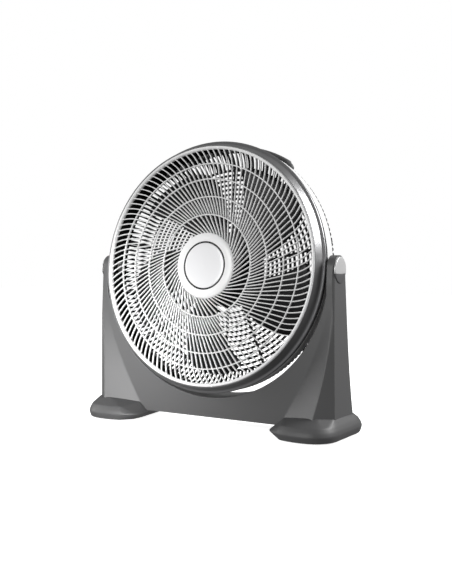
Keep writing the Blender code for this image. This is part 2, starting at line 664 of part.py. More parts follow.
def make_trim(head):
    inner = GRILLE_RADIUS + CLEARANCE
    front = GRILLE_FRONT
    lip = TRIM_RADIUS
    rear = BAND_FRONT - 0.0020
    wall = TRIM_WALL
    outline = [(inner, front), (inner + 0.0022, front - 0.0004), (lip - 0.0058, front - 0.0202),
               (lip - 0.0006, front - 0.0238), (lip, front - 0.0248), (lip, rear)]
    inside = [(lip - wall, rear), (lip - wall, front - 0.0232), (lip - 0.0058 - wall, front - 0.0212),
              (inner, front - 0.0030)]
    trim = turned("trim_ring", outline + inside, SILVER, head, 60)
    for i, angle in enumerate(trim_screw_angles()):
        at = (TRIM_SCREW_RADIUS * cos(angle), TRIM_SCREW_RADIUS * sin(angle))
        boss = cylinder(f"trim_boss_{i + 1}", TRIM_BOSS_RADIUS, SKIRT_REAR + 0.0004, front - 0.0150, SILVER, head,
                        at=at, segments=8)
        hole = cylinder(f"trim_boss_bore_{i + 1}", 0.0014, SKIRT_REAR - 0.002, front - 0.0190, SILVER, head,
                        at=at, segments=8)
        join(trim, as_cutter(boss))
        cut(trim, as_cutter(hole))
        screw = cylinder(f"trim_screw_{i + 1}", 0.0012, BAND_FRONT - 0.0080, front - 0.0200, STEEL, head,
                         at=at, segments=8)
        screw_head = cylinder(f"trim_screw_head_{i + 1}", 0.0030, BAND_FRONT - 0.0086, BAND_FRONT - 0.0064, STEEL, head,
                              at=at, segments=10)
        join(screw, as_cutter(screw_head))
        apply_modifiers(screw)
    apply_modifiers(trim)
    return trim


# ---------------------------------------------------------------- rear of the head

def guard_depth(radius):
    """Place along the axis of the guard's outer face: flat in the middle, curving forward to the band."""
    if radius <= GUARD_FLAT_RADIUS:
        return GUARD_BACK
    share = (radius - GUARD_FLAT_RADIUS) / (BAND_RADIUS - GUARD_FLAT_RADIUS)
    return BAND_REAR + (GUARD_BACK - BAND_REAR) * sqrt(max(0.0, 1 - share ** 2.4))


def rib_outline():
    """Section of a radial rib, in (radius, place along the axis)."""
    inner = GUARD_HUB_RADIUS - 0.002
    curve = BAND_RADIUS - GUARD_FLAT_RADIUS
    bends = [GUARD_FLAT_RADIUS + curve * share for share in (0.29, 0.55, 0.76, 0.89)]
    radii = [inner, GUARD_FLAT_RADIUS] + bends + [BAND_RADIUS - 0.0008]
    outside = [(r, guard_depth(r)) for r in radii]
    thick = GUARD_THICKNESS
    end = BAND_RADIUS - BAND_WALL + 0.0004
    inside = [(end, BAND_REAR + thick), (bends[3] - 0.0050, guard_depth(bends[3]) + thick),
              (bends[1] - 0.0030, guard_depth(bends[1] + 0.0050) + thick),
              (GUARD_FLAT_RADIUS - 0.0020, GUARD_BACK + thick), (inner, GUARD_BACK + thick)]
    return outside + inside


def make_guard(head):
    inner = BAND_RADIUS - BAND_WALL
    flange = GRILLE_RADIUS - SKIRT_WALL
    band = [(BAND_RADIUS, BAND_FRONT), (BAND_RADIUS, BAND_REAR - 0.002), (inner, BAND_REAR - 0.002),
            (inner, BAND_FRONT - 0.0058), (flange, BAND_FRONT - 0.0058), (flange, BAND_FRONT - 0.0032),
            (inner, BAND_FRONT - 0.0032), (inner, BAND_FRONT)]
    guard = turned("rear_guard", band, GUARD_WHITE, head, 72)
    core = ring("guard_hub", GUARD_HUB_RADIUS, 0.0140, GUARD_BACK - 0.0003, GUARD_BACK + GUARD_THICKNESS + 0.0003,
                GUARD_WHITE, head, 48)
    rib = flat_shape("guard_rib", [rib_outline()], -GUARD_RIB_WIDTH / 2, GUARD_RIB_WIDTH / 2,
                     GUARD_WHITE, head, Matrix(((1, 0, 0), (0, 0, -1), (0, 1, 0))))
    turns = [2 * pi * (i + 0.5) / GUARD_RIB_COUNT for i in range(GUARD_RIB_COUNT)]
    repeat(rib, [Matrix.Rotation(turn, 4, "Z") for turn in turns])
    hoops = []
    for k, radius in enumerate(GUARD_RING_RADII):
        low = guard_depth(radius) + 0.0006
        hoops.append(ring(f"guard_hoop_{k}", radius + 0.0015, radius - 0.0015, low, low + 0.0032, GUARD_WHITE, head, 30))
    for piece in [core, rib] + hoops:
        join(guard, as_cutter(piece))
    apply_modifiers(guard)
    for label, side in SIDES:
        low, high = sorted((side * (BAND_RADIUS - 0.01), side * (BAND_RADIUS + 0.01)))
        hole = cylinder("guard_pivot_hole_" + label, PIVOT_RADIUS + CLEARANCE, low, high, GUARD_WHITE, head, axis="X")
        cut(guard, as_cutter(hole))
    for i, angle in enumerate(trim_screw_angles()):
        at = (TRIM_SCREW_RADIUS * cos(angle), TRIM_SCREW_RADIUS * sin(angle))
        hole = cylinder(f"flange_hole_{i}", 0.0017, BAND_FRONT - 0.010, BAND_FRONT, GUARD_WHITE, head, at=at, segments=8)
        cut(guard, as_cutter(hole))
    for i, at in enumerate(motor_screw_places()):
        hole = cylinder(f"guard_motor_hole_{i}", 0.0023, GUARD_BACK - 0.01, GUARD_BACK + 0.01, GUARD_WHITE, head,
                        at=at, segments=12)
        cut(guard, as_cutter(hole))
    apply_modifiers(guard)
    return guard


def make_handle(head):
    """A round bar along the top of the head, its ends turned forward to the guard's band."""
    radius = HANDLE_OUTER_RADIUS - HANDLE_TUBE
    front = BAND_REAR - 0.002 - SEAT_GAP
    curve = bpy.data.curves.new("handle", "CURVE")
    curve.dimensions = "3D"
    curve.bevel_depth = HANDLE_TUBE
    curve.bevel_resolution = 3
    curve.use_fill_caps = True
    bend = radians(6.0)
    foot_radius = BAND_RADIUS - HANDLE_TUBE + 0.0060
    path = []
    for i in range(5):
        share = i / 4
        path.append((HANDLE_HALF_ANGLE - bend * sin(share * pi / 2),
                     front + (HANDLE_BEHIND - front) * (share ** 0.8 if share else 0.0),
                     foot_radius + (radius - foot_radius) * share))
    flat = [HANDLE_HALF_ANGLE - bend - (HANDLE_HALF_ANGLE - bend) * i / 5 for i in range(1, 6)]
    path += [(a, HANDLE_BEHIND, radius) for a in flat]
    path += [(-a, z, r) for a, z, r in reversed(path[:-1])]
    spline = curve.splines.new("POLY")
    spline.points.add(len(path) - 1)
    for point, (angle, z, r) in zip(spline.points, path):
        point.co = (r * sin(angle), r * cos(angle), z, 1.0)
    source = bpy.data.objects.new("handle_path", curve)
    PARTS.objects.link(source)
    graph = bpy.context.evaluated_depsgraph_get()
    mesh = bpy.data.meshes.new_from_object(source.evaluated_get(graph))
    bpy.data.objects.remove(source)
    shape = bmesh.new()
    shape.from_mesh(mesh)
    bmesh.ops.remove_doubles(shape, verts=shape.verts, dist=0.00001)
    bmesh.ops.recalc_face_normals(shape, faces=shape.faces)
    shape.to_mesh(mesh)
    shape.free()
    mesh.materials.clear()
    handle = add_object("handle", mesh, STAND_GREY, head)
    clear = box("handle_front_trim", (-0.3, 0.0, front), (0.3, 0.4, front + 0.05), STAND_GREY, head)
    cut(handle, as_cutter(clear))
    return smooth(apply_modifiers(handle), 50)


# ---------------------------------------------------------------- motor, controls and rotor

def motor_screw_places():
    reach = MOTOR_COVER_RADIUS + 0.0105
    return [(reach * cos(a), reach * sin(a)) for a in (pi / 4, 3 * pi / 4, 5 * pi / 4, 7 * pi / 4)]


def make_motor(head):
    plate_back = GUARD_BACK - 2 * SEAT_GAP
    rear = MOTOR_COVER_REAR
    outer = MOTOR_COVER_RADIUS
    flange = outer + 0.0160
    cover = turned("motor_cover", [(flange, plate_back), (flange, plate_back - WALL), (outer, plate_back - WALL),
                                   (outer, rear + 0.008), (outer - 0.008, rear), (0.0, rear), (0.0, rear + WALL),
                                   (outer - 0.009, rear + WALL), (outer - WALL, rear + 0.009),
                                   (outer - WALL, plate_back)], HOUSING_WHITE, head, 40)
    knob_hole = cylinder("knob_hole", 0.0036, rear - 0.01, rear + 0.01, HOUSING_WHITE, head,
                         at=(0.0, -KNOB_BELOW_AXIS), segments=16)
    gland_hole = cylinder("gland_hole", 0.0052, -outer - 0.01, -outer + 0.01, HOUSING_WHITE, head,
                          axis="Y", at=(0.0, GLAND_PLACE), segments=16)
    for cutter in (knob_hole, gland_hole):
        cut(cover, as_cutter(cutter))
    for i, at in enumerate(motor_screw_places()):
        hole = cylinder(f"cover_motor_hole_{i}", 0.0023, plate_back - 0.01, plate_back + 0.01, HOUSING_WHITE, head,
                        at=at, segments=12)
        cut(cover, as_cutter(hole))
    apply_modifiers(cover)
    plate = cylinder("motor_plate", MOTOR_COVER_RADIUS - 0.0080, plate_back - 0.0040, plate_back - SEAT_GAP, STEEL,
                     head, segments=48)
    bore = cylinder("motor_plate_bore", BEARING_RADIUS + SEAT_GAP, plate_back - 0.01, plate_back + 0.01, STEEL, head)
    cut(plate, as_cutter(bore))
    apply_modifiers(plate)
    stator = ring("motor_stator", STATOR_OUTER, STATOR_INNER, STATOR_SPAN[0], STATOR_SPAN[1], COPPER, head, 32)
    posts = []
    for k in range(4):
        angle = pi / 4 + k * pi / 2
        at = ((STATOR_OUTER - 0.0050) * cos(angle), (STATOR_OUTER - 0.0050) * sin(angle))
        posts.append(cylinder(f"stator_post_{k}", 0.0035, STATOR_SPAN[1] - 0.004, plate_back - 0.0040 - SEAT_GAP,
                              COPPER, head, at=at, segments=10))
    for post in posts:
        join(stator, as_cutter(post))
    apply_modifiers(stator)
    front_bearing = plate_back - 0.0045
    ring("bearing_front", BEARING_RADIUS, SHAFT_RADIUS + 0.0001, front_bearing, front_bearing + BEARING_DEPTH,
         STEEL, head, 24)
    rear_bearing = SHAFT_REAR + 0.0010
    ring("bearing_rear", BEARING_RADIUS, SHAFT_RADIUS + 0.0001, rear_bearing, rear_bearing + BEARING_DEPTH,
         STEEL, head, 24)
    box("run_capacitor", (-0.0150, STATOR_OUTER + 0.0020, -0.0960), (0.0150, STATOR_OUTER + 0.0125, -0.0780),
        SWITCH_BLACK, head)
    low = MOTOR_COVER_REAR + WALL + SEAT_GAP
    cylinder("speed_switch", 0.0140, low, low + SWITCH_DEPTH, SWITCH_BLACK, head,
             at=(0.0, -KNOB_BELOW_AXIS), segments=24)
    make_gland(head)
    for i, at in enumerate(motor_screw_places()):
        screw = cylinder(f"motor_screw_{i + 1}", 0.0020, plate_back - WALL - 0.0010, GUARD_BACK + GUARD_THICKNESS + 0.004,
                         STEEL, head, at=at, segments=8)
        screw_head = cylinder(f"motor_screw_head_{i + 1}", 0.0040, plate_back - WALL - 0.0028,
                              plate_back - WALL - SEAT_GAP, STEEL, head, at=at, segments=10)
        join(screw, as_cutter(screw_head))
        apply_modifiers(screw)


def ring(name, outer, inner, low, high, material, parent, segments):
    return turned(name, [(outer, high), (outer, low), (inner, low), (inner, high)], material, parent, segments)


def make_gland(head):
    outer = MOTOR_COVER_RADIUS
    gland = cylinder("cord_gland", 0.0048, -outer - 0.0120, -outer + 0.0050, SWITCH_BLACK, head,
                     axis="Y", at=(0.0, GLAND_PLACE), segments=16)
    collar = cylinder("gland_collar", 0.0075, -outer - 0.0035, -outer - SEAT_GAP, SWITCH_BLACK, head,
                      axis="Y", at=(0.0, GLAND_PLACE), segments=20)
    bore = cylinder("gland_bore", GLAND_BORE_RADIUS, -outer - 0.02, -outer + 0.02, SWITCH_BLACK, head,
                    axis="Y", at=(0.0, GLAND_PLACE), segments=16)
    join(gland, as_cutter(collar))
    cut(gland, as_cutter(bore))
    return apply_modifiers(gland)


def make_knob(head):
    """The rotary speed knob on the back of the motor cover, with its stem through the cover into the switch."""
    rear = MOTOR_COVER_REAR
    knob = turned("speed_knob", [(0.0, rear + 0.0026), (0.0030, rear + 0.0026), (0.0030, rear - 0.0010),
                                 (KNOB_RADIUS + 0.0020, rear - 0.0010),
                                 (KNOB_RADIUS + 0.0020, rear - 0.0035), (KNOB_RADIUS, rear - 0.0045),
                                 (KNOB_RADIUS - 0.0012, rear - KNOB_DEPTH), (0.0, rear - KNOB_DEPTH)],
                  STAND_GREY, None, 28)
    grip = box("knob_grip", (-0.0030, -KNOB_RADIUS + 0.0010, rear - KNOB_DEPTH - 0.0050),
               (0.0030, KNOB_RADIUS - 0.0010, rear - KNOB_DEPTH + 0.0030), STAND_GREY)
    join(knob, as_cutter(grip))
    apply_modifiers(knob)
    knob.parent = head
    knob.location = (0.0, -KNOB_BELOW_AXIS, 0.0)
    return knob


def blade_surface():
    """One blade as an open sheet: it leaves the hub steep, widens, twists flatter and sweeps forward at the tip."""
    rows, columns = 6, 5
    root, tip = BLADE_HUB_RADIUS - 0.0015, BLADE_RADIUS
    shape = bmesh.new()
    grid = []
    for i in range(rows):
        share = i / (rows - 1)
        radius = root + (tip - root) * share
        half_chord = radians(27.0) - radians(3.0) * share
        pitch = 0.0165 + 0.0035 * share
        sweep = radians(20.0) * share ** 1.5
        row = []
        for j in range(columns):
            across = 2 * j / (columns - 1) - 1
            round_tip = 0.007 * across * across * share
            angle = sweep + half_chord * across
            camber = 0.0035 * (1 - across * across)
            z = BLADE_HUB_FRONT - BLADE_HUB_DEPTH / 2 + pitch * across * (0.92 + 0.16 * share) + camber
            r = radius - round_tip
            row.append(shape.verts.new((r * cos(angle), r * sin(angle), z)))
        grid.append(row)
    for upper, lower in zip(grid, grid[1:]):
        for j in range(columns - 1):
            shape.faces.new((upper[j], lower[j], lower[j + 1], upper[j + 1]))
    mesh = bpy.data.meshes.new("blade")
    shape.to_mesh(mesh)
    shape.free()
    return mesh


def make_rotor(head):
    front, back = BLADE_HUB_FRONT, BLADE_HUB_FRONT - BLADE_HUB_DEPTH
    outer = BLADE_HUB_RADIUS
    bore = SHAFT_RADIUS + 0.0001
    fan = turned("fan_blade", [(outer - 0.006, front), (outer, front - 0.006), (outer, back), (outer - 0.003, back),
                               (outer - 0.003, front - 0.006), (outer - 0.008, front - 0.003), (0.0110, front - 0.003),
                               (0.0110, back + 0.004), (bore, back + 0.004), (bore, front)],
                 BLADE_GREY, head, 30)
    for k in range(BLADE_COUNT):
        blade = add_object(f"blade_{k}", blade_surface(), BLADE_GREY, head)
        blade.data.transform(Matrix.Rotation(2 * pi * k / BLADE_COUNT + BLADE_START, 4, "Z"))
        thick = blade.modifiers.new("thickness", "SOLIDIFY")
        thick.thickness = BLADE_WALL
        thick.offset = 0.0
        apply_modifiers(blade)
        join(fan, as_cutter(blade))
    apply_modifiers(fan)
    smooth(fan, 40)
    nut_low = front + SEAT_GAP
    nut = turned("blade_nut", [(0.0, nut_low + 0.0160), (0.0080, nut_low + 0.0150), (0.0130, nut_low + 0.0100),
                               (0.0140, nut_low), (bore, nut_low), (bore, SHAFT_FRONT + SEAT_GAP),
                               (0.0, SHAFT_FRONT + SEAT_GAP)], BLADE_GREY, head, 24)
    cylinder("motor_shaft", SHAFT_RADIUS, SHAFT_REAR, SHAFT_FRONT, STEEL, head, segments=24)
    ring("rotor_core", STATOR_INNER - 0.0006, SHAFT_RADIUS + 0.0003, STATOR_SPAN[0] + 0.001, STATOR_SPAN[1] - 0.001,
         STEEL, head, 28)
    return fan, nut


# ---------------------------------------------------------------- assembly

def make_head_frame():
    head = bpy.data.objects.new("head_frame", None)
    PARTS.objects.link(head)
    head.location = (0.0, 0.0, PIVOT_HEIGHT)
    head.rotation_euler = (pi / 2 - TILT_AT_REST, 0.0, 0.0)
    bpy.context.view_layer.update()
    return head


def main():
    head = make_head_frame()
    make_stand()
    make_rear_cover()
    make_cover_screws()
    for label, side in SIDES:
        make_foot(label, side)
        make_pivot_side(label, side, head)
    make_pads()
    make_grille(head)
    make_hub(head)
    make_trim(head)
    make_guard(head)
    make_handle(head)
    make_motor(head)
    make_knob(head)
    make_rotor(head)
    for obj in PARTS.objects:
        if obj.parent is None:
            obj.location.y += TILT_AXIS_Y


main()
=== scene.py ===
import json
from math import asin, atan2, cos, pi, radians, sin, sqrt

import bmesh
import bpy
from mathutils import Matrix, Vector


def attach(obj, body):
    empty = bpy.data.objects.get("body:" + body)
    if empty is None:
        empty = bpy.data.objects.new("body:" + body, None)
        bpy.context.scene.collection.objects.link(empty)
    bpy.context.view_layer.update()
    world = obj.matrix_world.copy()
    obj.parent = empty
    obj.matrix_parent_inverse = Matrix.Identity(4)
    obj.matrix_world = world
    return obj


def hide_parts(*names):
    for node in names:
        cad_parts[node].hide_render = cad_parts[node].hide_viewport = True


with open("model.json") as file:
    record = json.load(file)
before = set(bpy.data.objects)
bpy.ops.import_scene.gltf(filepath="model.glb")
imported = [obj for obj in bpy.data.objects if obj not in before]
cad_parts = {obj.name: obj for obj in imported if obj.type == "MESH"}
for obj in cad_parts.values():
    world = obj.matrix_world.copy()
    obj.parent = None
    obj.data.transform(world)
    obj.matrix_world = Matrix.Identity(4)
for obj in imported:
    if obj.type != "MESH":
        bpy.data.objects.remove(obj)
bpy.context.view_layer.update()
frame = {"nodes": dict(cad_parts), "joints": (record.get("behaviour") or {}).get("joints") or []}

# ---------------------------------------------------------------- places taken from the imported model

JOINTS = {joint["name"]: joint for joint in frame["joints"]}
PIVOT = Vector(JOINTS["head_tilt"]["pos_m"])
KNOB_AXIS = Vector(JOINTS["speed_turn"]["pos_m"])
FORWARD = Vector(JOINTS["rotor_spin"]["axis"]).normalized()
UP = Vector((1.0, 0.0, 0.0)).cross(FORWARD) * -1.0
HEAD_AXES = Matrix(((1, UP.x, FORWARD.x), (0, UP.y, FORWARD.y), (0, UP.z, FORWARD.z)))
HEAD = Matrix.Translation(PIVOT) @ HEAD_AXES.to_4x4()
SIDES = (("left", -1.0), ("right", 1.0))

# Sizes are in metres. The head's depths are along its own axis, forwards from the tilt axis.

# Front grille and hub.
RIM_RADIUS = 0.2524
RIM_FRONT = 0.0457
RIM_WALL = 0.0029
SKIRT_REAR = 0.0188
LATTICE_FRONT = 0.0420
LATTICE_RADIUS = 0.2468
LATTICE_LIFT = 0.0022
LATTICE_LIFT_WIDTH = 0.034
HUB_RADIUS = 0.0700
HUB_OVERLAP = 0.0030
BADGE_RADIUS = 0.0500
RING_RADII = (0.1078, 0.1457, 0.1835, 0.2162)
RING_WIDTH = 0.0027
RING_DEPTH = 0.0048
INNER_SPOKES = 57
OUTER_SPOKES = 114
SPOKE_WIDTH = 0.0024
SPOKE_DEPTH = 0.0046
SPOKE_STEPS = (6, 4, 4, 4, 7)
SLANT_AT = (0.0700, 0.1078, 0.2162, 0.2170, 0.2500)
SLANT = (0.95, 0.52, 0.27, 0.42, 0.68)

# Trim ring and rear guard.
TRIM_INNER_RADIUS = 0.2528
TRIM_OUTER_RADIUS = 0.2668
BAND_RADIUS = 0.2636
BAND_WALL = 0.0026
BAND_FRONT = 0.0205
BAND_REAR = -0.0170
BAND_WHITE_FROM = 0.0060
SHADE_SHEET_WALL = 0.0010
GUARD_BACK = -0.0660
GUARD_FLAT_RADIUS = 0.1950
GUARD_HUB_RADIUS = 0.0840
GUARD_CURVE = 2.4
PLATE_BORE_RADIUS = 0.0140
PLATE_DEPTH = 0.0048
SIDE_RIBS = 156
SIDE_RIB_START = 0.2180
SIDE_RIB_WIDTH = 0.0046
SIDE_RIB_DEPTH = 0.0030
BACK_RIBS = 14
BACK_RIB_WIDTH = 0.0050
BACK_RIB_DEPTH = 0.0052
HOOP_PITCH = 0.0105
HOOP_LIMIT = 0.2290
HOOP_WIDTH = 0.0050
HOOP_DEPTH = 0.0034

# Blades and their hub.
BLADE_COUNT = 5
BLADE_START = radians(34.0)
BLADE_RADIUS = 0.2280
BLADE_HALF_ANGLE = radians(24.0)
BLADE_NARROWING = radians(2.0)
BLADE_SWEEP = radians(20.0)
BLADE_RISE = 0.0165
BLADE_RISE_GAIN = 0.0035
BLADE_CAMBER = 0.0035
BLADE_THICK = 0.0021
BLADE_HUB_RADIUS = 0.0430
BLADE_HUB_FRONT = 0.0020
BLADE_HUB_DEPTH = 0.0420
BLADE_HUB_WALL = 0.0030
SHAFT_BORE_RADIUS = 0.0042

# Motor cover, knob and handle.
MOTOR_RADIUS = 0.0640
MOTOR_REAR = -0.1185
MOTOR_WALL = 0.0028
MOTOR_FLANGE_RADIUS = 0.0800
KNOB_RADIUS = 0.0170
KNOB_DEPTH = 0.0150
KNOB_POINTS = 72
KNOB_FLUTES = 18
KNOB_FLUTE_DEPTH = 0.0009
DIAL_MARKS = 4
DIAL_STEP = radians(45.0)
DIAL_GAP = 0.0034
HANDLE_TUBE = 0.0072
HANDLE_RADIUS = 0.2710 - HANDLE_TUBE
HANDLE_HALF_ANGLE = radians(37.0)
HANDLE_FLARE = radians(6.0)
HANDLE_BEHIND = -0.0520

# Stand.
CUTOUT_RADIUS = 0.2750
LEG_OUTER_X = 0.2906
ARM_OUTER_X = 0.2872
ARM_INNER_X = 0.2700
ARM_TOP_RADIUS = 0.0260
PANEL_FRONT_Y = -0.0285
PANEL_BLEND = 0.0300
PANEL_BOTTOM = 0.0205
WALL = 0.0028
REAR_SLOPE = 0.090
REAR_SWELL = 1.45
EDGE_SOFTNESS = 0.0016
RECESS = 0.0035
RECESS_TOP = 0.3500
RECESS_NONE = 0.00001
RIDGE_BELOW_PIVOT = 0.0600
RIDGE_HEIGHT = 0.2575
RIDGE_FORWARD = 0.038
RIDGE_INWARD = 0.035
RIDGE_WIDTH = 0.110
ARC_STEPS = 60
ARM_STEPS = 10
TOP_STEPS = 14
PLATE_GAP = 0.0005
JOIN_DISTANCE = 0.00002
PLATE_TOP = 0.3490
PLATE_ARM_STEPS = 9
PLATE_TOP_STEPS = 8


# ---------------------------------------------------------------- mesh helpers

def add_mesh(name, verts, faces, body, slot, material, replaced=(), local=None, merge=None):
    """A mesh object riding on a body. local is the matrix from the drawing's own axes to the row frame."""
    mesh = bpy.data.meshes.new(name)
    mesh.from_pydata([tuple(v) for v in verts], [], faces)
    shape = bmesh.new()
    shape.from_mesh(mesh)
    if merge:
        bmesh.ops.remove_doubles(shape, verts=shape.verts, dist=merge)
    bmesh.ops.recalc_face_normals(shape, faces=shape.faces)
    if local is not None:
        bmesh.ops.transform(shape, matrix=local, verts=shape.verts)
    for face in shape.faces:
        face.smooth = True
    shape.to_mesh(mesh)
    shape.free()
    obj = bpy.data.objects.new(name, mesh)
    bpy.context.scene.collection.objects.link(obj)
    mesh.materials.append(material)
    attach(obj, body)
    if replaced:
        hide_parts(*replaced)
    return obj


def sharpen(obj, angle):
    """Marks the edges that turn by more than this many degrees as sharp."""
    obj.data.set_sharp_from_angle(angle=radians(angle))
    return obj


def weighted(obj):
    """Shades by the larger faces, so that flat areas look flat beside rounded edges."""
    made = obj.modifiers.new("normals", "WEIGHTED_NORMAL")
    made.keep_sharp = True
    made.weight = 80
    return obj


def rounded(points, radius, steps=3, closed=True):
    """The outline with each corner drawn as a short curve. A third value is that corner's own radius."""
    out = []
    count = len(points)
    for i, point in enumerate(points):
        here = Vector(point[:2])
        size = point[2] if len(point) > 2 else radius
        if not closed and i in (0, count - 1) or size <= 0:
            out.append(here)
            continue
        before, after = Vector(points[i - 1][:2]), Vector(points[(i + 1) % count][:2])
        a, b = before - here, after - here
        a = here + a.normalized() * min(size, a.length * 0.45)
        b = here + b.normalized() * min(size, b.length * 0.45)
        for k in range(steps + 1):
            t = k / steps
            out.append(a * (1 - t) ** 2 + here * (2 * t * (1 - t)) + b * t ** 2)
    return out


def lathe(name, profile, segments, *facts, radius=0.0006, steps=3):
    """A solid of revolution about the head's axis, from a closed profile in (radius, place along it)."""
    outline = rounded(profile, radius, steps)
    verts, faces, rows = [], [], []
    for point in outline:
        r, z = max(point[0], 0.0), point[1]
        if r < 1e-6:
            rows.append([len(verts)] * segments)
            verts.append((0.0, 0.0, z))
            continue
        rows.append(list(range(len(verts), len(verts) + segments)))
        angles = [2 * pi * k / segments for k in range(segments)]
        verts += [(r * cos(angle), r * sin(angle), z) for angle in angles]
    for i in range(len(rows)):
        upper, lower = rows[i], rows[(i + 1) % len(rows)]
        for k in range(segments):
            j = (k + 1) % segments
            face = [upper[k], upper[j], lower[j], lower[k]]
            face = [v for n, v in enumerate(face) if v not in face[:n]]
            if len(face) > 2:
                faces.append(face)
    return add_mesh(name, verts, faces, *facts, local=HEAD)


def bar(verts, faces, path, width, depth, across):
    """Adds a closed rib along path, with a rounded front. across holds each point's sideways direction."""
    section = [(-0.5, -1.0), (-0.5, -0.3), (-0.32, -0.05), (0.0, 0.0), (0.32, -0.05), (0.5, -0.3),
               (0.5, -1.0)]
    start = len(verts)
    size = len(section)
    for point, side in zip(path, across):
        for u, v in section:
            x, y = point[0] + side[0] * u * width, point[1] + side[1] * u * width
            verts.append((x, y, point[2] + v * depth))
    for i in range(len(path) - 1):
        for k in range(size):
            j = (k + 1) % size
            a = start + i * size
            faces.append((a + k, a + j, a + size + j, a + size + k))
    faces.append(tuple(range(start, start + size)))
    faces.append(tuple(range(len(verts) - size, len(verts)))[::-1])


def between(value, places, values):
    """The value read off a line drawn through the given places, level past its last one."""
    for i in range(len(places) - 1):
        if value <= places[i + 1]:
            share = (value - places[i]) / (places[i + 1] - places[i])
            return values[i] + (values[i + 1] - values[i]) * max(0.0, share)
    return values[-1]


# ---------------------------------------------------------------- materials

def plastic(name, colour, roughness, grain, grain_scale=900.0, mottle=0.04, metallic=0.0, coat=0.0,
            wear=0.0, specular=0.5):
    """Plastic, paint or metal with a fine surface texture, slow changes in tone and gloss, and worn edges."""
    made = bpy.data.materials.new(name)
    made.use_nodes = True
    tree = made.node_tree
    shader = tree.nodes["Principled BSDF"]
    shader.inputs["Metallic"].default_value = metallic
    shader.inputs["Coat Weight"].default_value = coat
    shader.inputs["Coat Roughness"].default_value = 0.12
    shader.inputs["Specular IOR Level"].default_value = specular
    place = tree.nodes.new("ShaderNodeTexCoord")
    slow = tree.nodes.new("ShaderNodeTexNoise")
    slow.inputs["Scale"].default_value = 9.0
    slow.inputs["Detail"].default_value = 4.0
    tree.links.new(place.outputs["Object"], slow.inputs["Vector"])
    tone = tree.nodes.new("ShaderNodeMapRange")
    tone.inputs["To Min"].default_value = 1.0 - mottle
    tone.inputs["To Max"].default_value = 1.0 + mottle
    tree.links.new(slow.outputs["Fac"], tone.inputs["Value"])
    base = tree.nodes.new("ShaderNodeMix")
    base.data_type = "RGBA"
    base.blend_type = "MULTIPLY"
    base.inputs["Factor"].default_value = 1.0
    base.inputs["A"].default_value = (*colour, 1.0)
    tree.links.new(tone.outputs["Result"], base.inputs["B"])
    last = base.outputs["Result"]
    if wear:
        shape = tree.nodes.new("ShaderNodeNewGeometry")
        edge = tree.nodes.new("ShaderNodeMapRange")
        edge.inputs["From Min"].default_value = 0.52
        edge.inputs["From Max"].default_value = 0.62
        edge.inputs["To Max"].default_value = wear
        tree.links.new(shape.outputs["Pointiness"], edge.inputs["Value"])
        paler = tree.nodes.new("ShaderNodeMix")
        paler.data_type = "RGBA"
        paler.inputs["B"].default_value = (*[min(1.0, c * 1.5 + 0.04) for c in colour], 1.0)
        tree.links.new(edge.outputs["Result"], paler.inputs["Factor"])
        tree.links.new(last, paler.inputs["A"])
        last = paler.outputs["Result"]
    tree.links.new(last, shader.inputs["Base Color"])
    gloss = tree.nodes.new("ShaderNodeMapRange")
    gloss.inputs["To Min"].default_value = roughness - 0.05
    gloss.inputs["To Max"].default_value = roughness + 0.05
    middle = tree.nodes.new("ShaderNodeTexNoise")
    middle.inputs["Scale"].default_value = 60.0
    middle.inputs["Detail"].default_value = 3.0
    tree.links.new(place.outputs["Object"], middle.inputs["Vector"])
    tree.links.new(middle.outputs["Fac"], gloss.inputs["Value"])
    tree.links.new(gloss.outputs["Result"], shader.inputs["Roughness"])
    fine = tree.nodes.new("ShaderNodeTexNoise")
    fine.inputs["Scale"].default_value = grain_scale
    fine.inputs["Detail"].default_value = 2.0
    tree.links.new(place.outputs["Object"], fine.inputs["Vector"])
    bump = tree.nodes.new("ShaderNodeBump")
    bump.inputs["Strength"].default_value = grain
    bump.inputs["Distance"].default_value = 0.0006
    tree.links.new(fine.outputs["Fac"], bump.inputs["Height"])
    tree.links.new(bump.outputs["Normal"], shader.inputs["Normal"])
    return made


STAND = plastic("stand_grey_plastic", (0.088, 0.088, 0.089), 0.46, grain=0.22, wear=0.25)
FOOT = plastic("foot_grey_plastic", (0.074, 0.074, 0.075), 0.50, grain=0.25, wear=0.25)
WHITE = plastic("white_plastic", (0.84, 0.84, 0.84), 0.30, grain=0.05, mottle=0.015, coat=0.2)
GUARD = plastic("guard_white_plastic", (0.84, 0.84, 0.84), 0.36, grain=0.06, mottle=0.015)
BADGE = plastic("badge_satin", (0.80, 0.80, 0.81), 0.24, grain=0.03, mottle=0.01, coat=0.4)
SILVER = plastic("silver_paint", (0.27, 0.27, 0.275), 0.36, grain=0.10, grain_scale=1600.0, mottle=0.03,
                 metallic=0.85)
BLADE = plastic("blade_dark_plastic", (0.014, 0.014, 0.015), 0.42, grain=0.08, specular=0.3)
HOUSING = plastic("housing_white_plastic", (0.80, 0.80, 0.80), 0.42, grain=0.16, mottle=0.02)
BLACK = plastic("black_plastic", (0.018, 0.018, 0.019), 0.42, grain=0.12)
RUBBER = plastic("rubber", (0.022, 0.022, 0.022), 0.78, grain=0.35, grain_scale=500.0)
STEEL = plastic("zinc_steel", (0.56, 0.56, 0.55), 0.30, grain=0.08, grain_scale=1200.0, metallic=1.0,
                mottle=0.06)
COPPER = plastic("winding_copper", (0.42, 0.17, 0.07), 0.38, grain=0.5, grain_scale=700.0, metallic=0.9,
                 mottle=0.12)
CAP_SILVER = plastic("cap_silver_paint", (0.62, 0.62, 0.62), 0.38, grain=0.06, metallic=0.3)
DARK = plastic("dark_grey_plastic", (0.020, 0.020, 0.021), 0.55, grain=0.12, specular=0.15)
# Near-black matt plastic for the thin sheets inside the grille skirt and the shroud band: painted shade,
# standing in for the shade inside the head.
PAINTED_SHADE_BLACK = plastic("shroud_painted_shade_black", (0.008, 0.008, 0.008), 0.80, grain=0.10, specular=0.04)
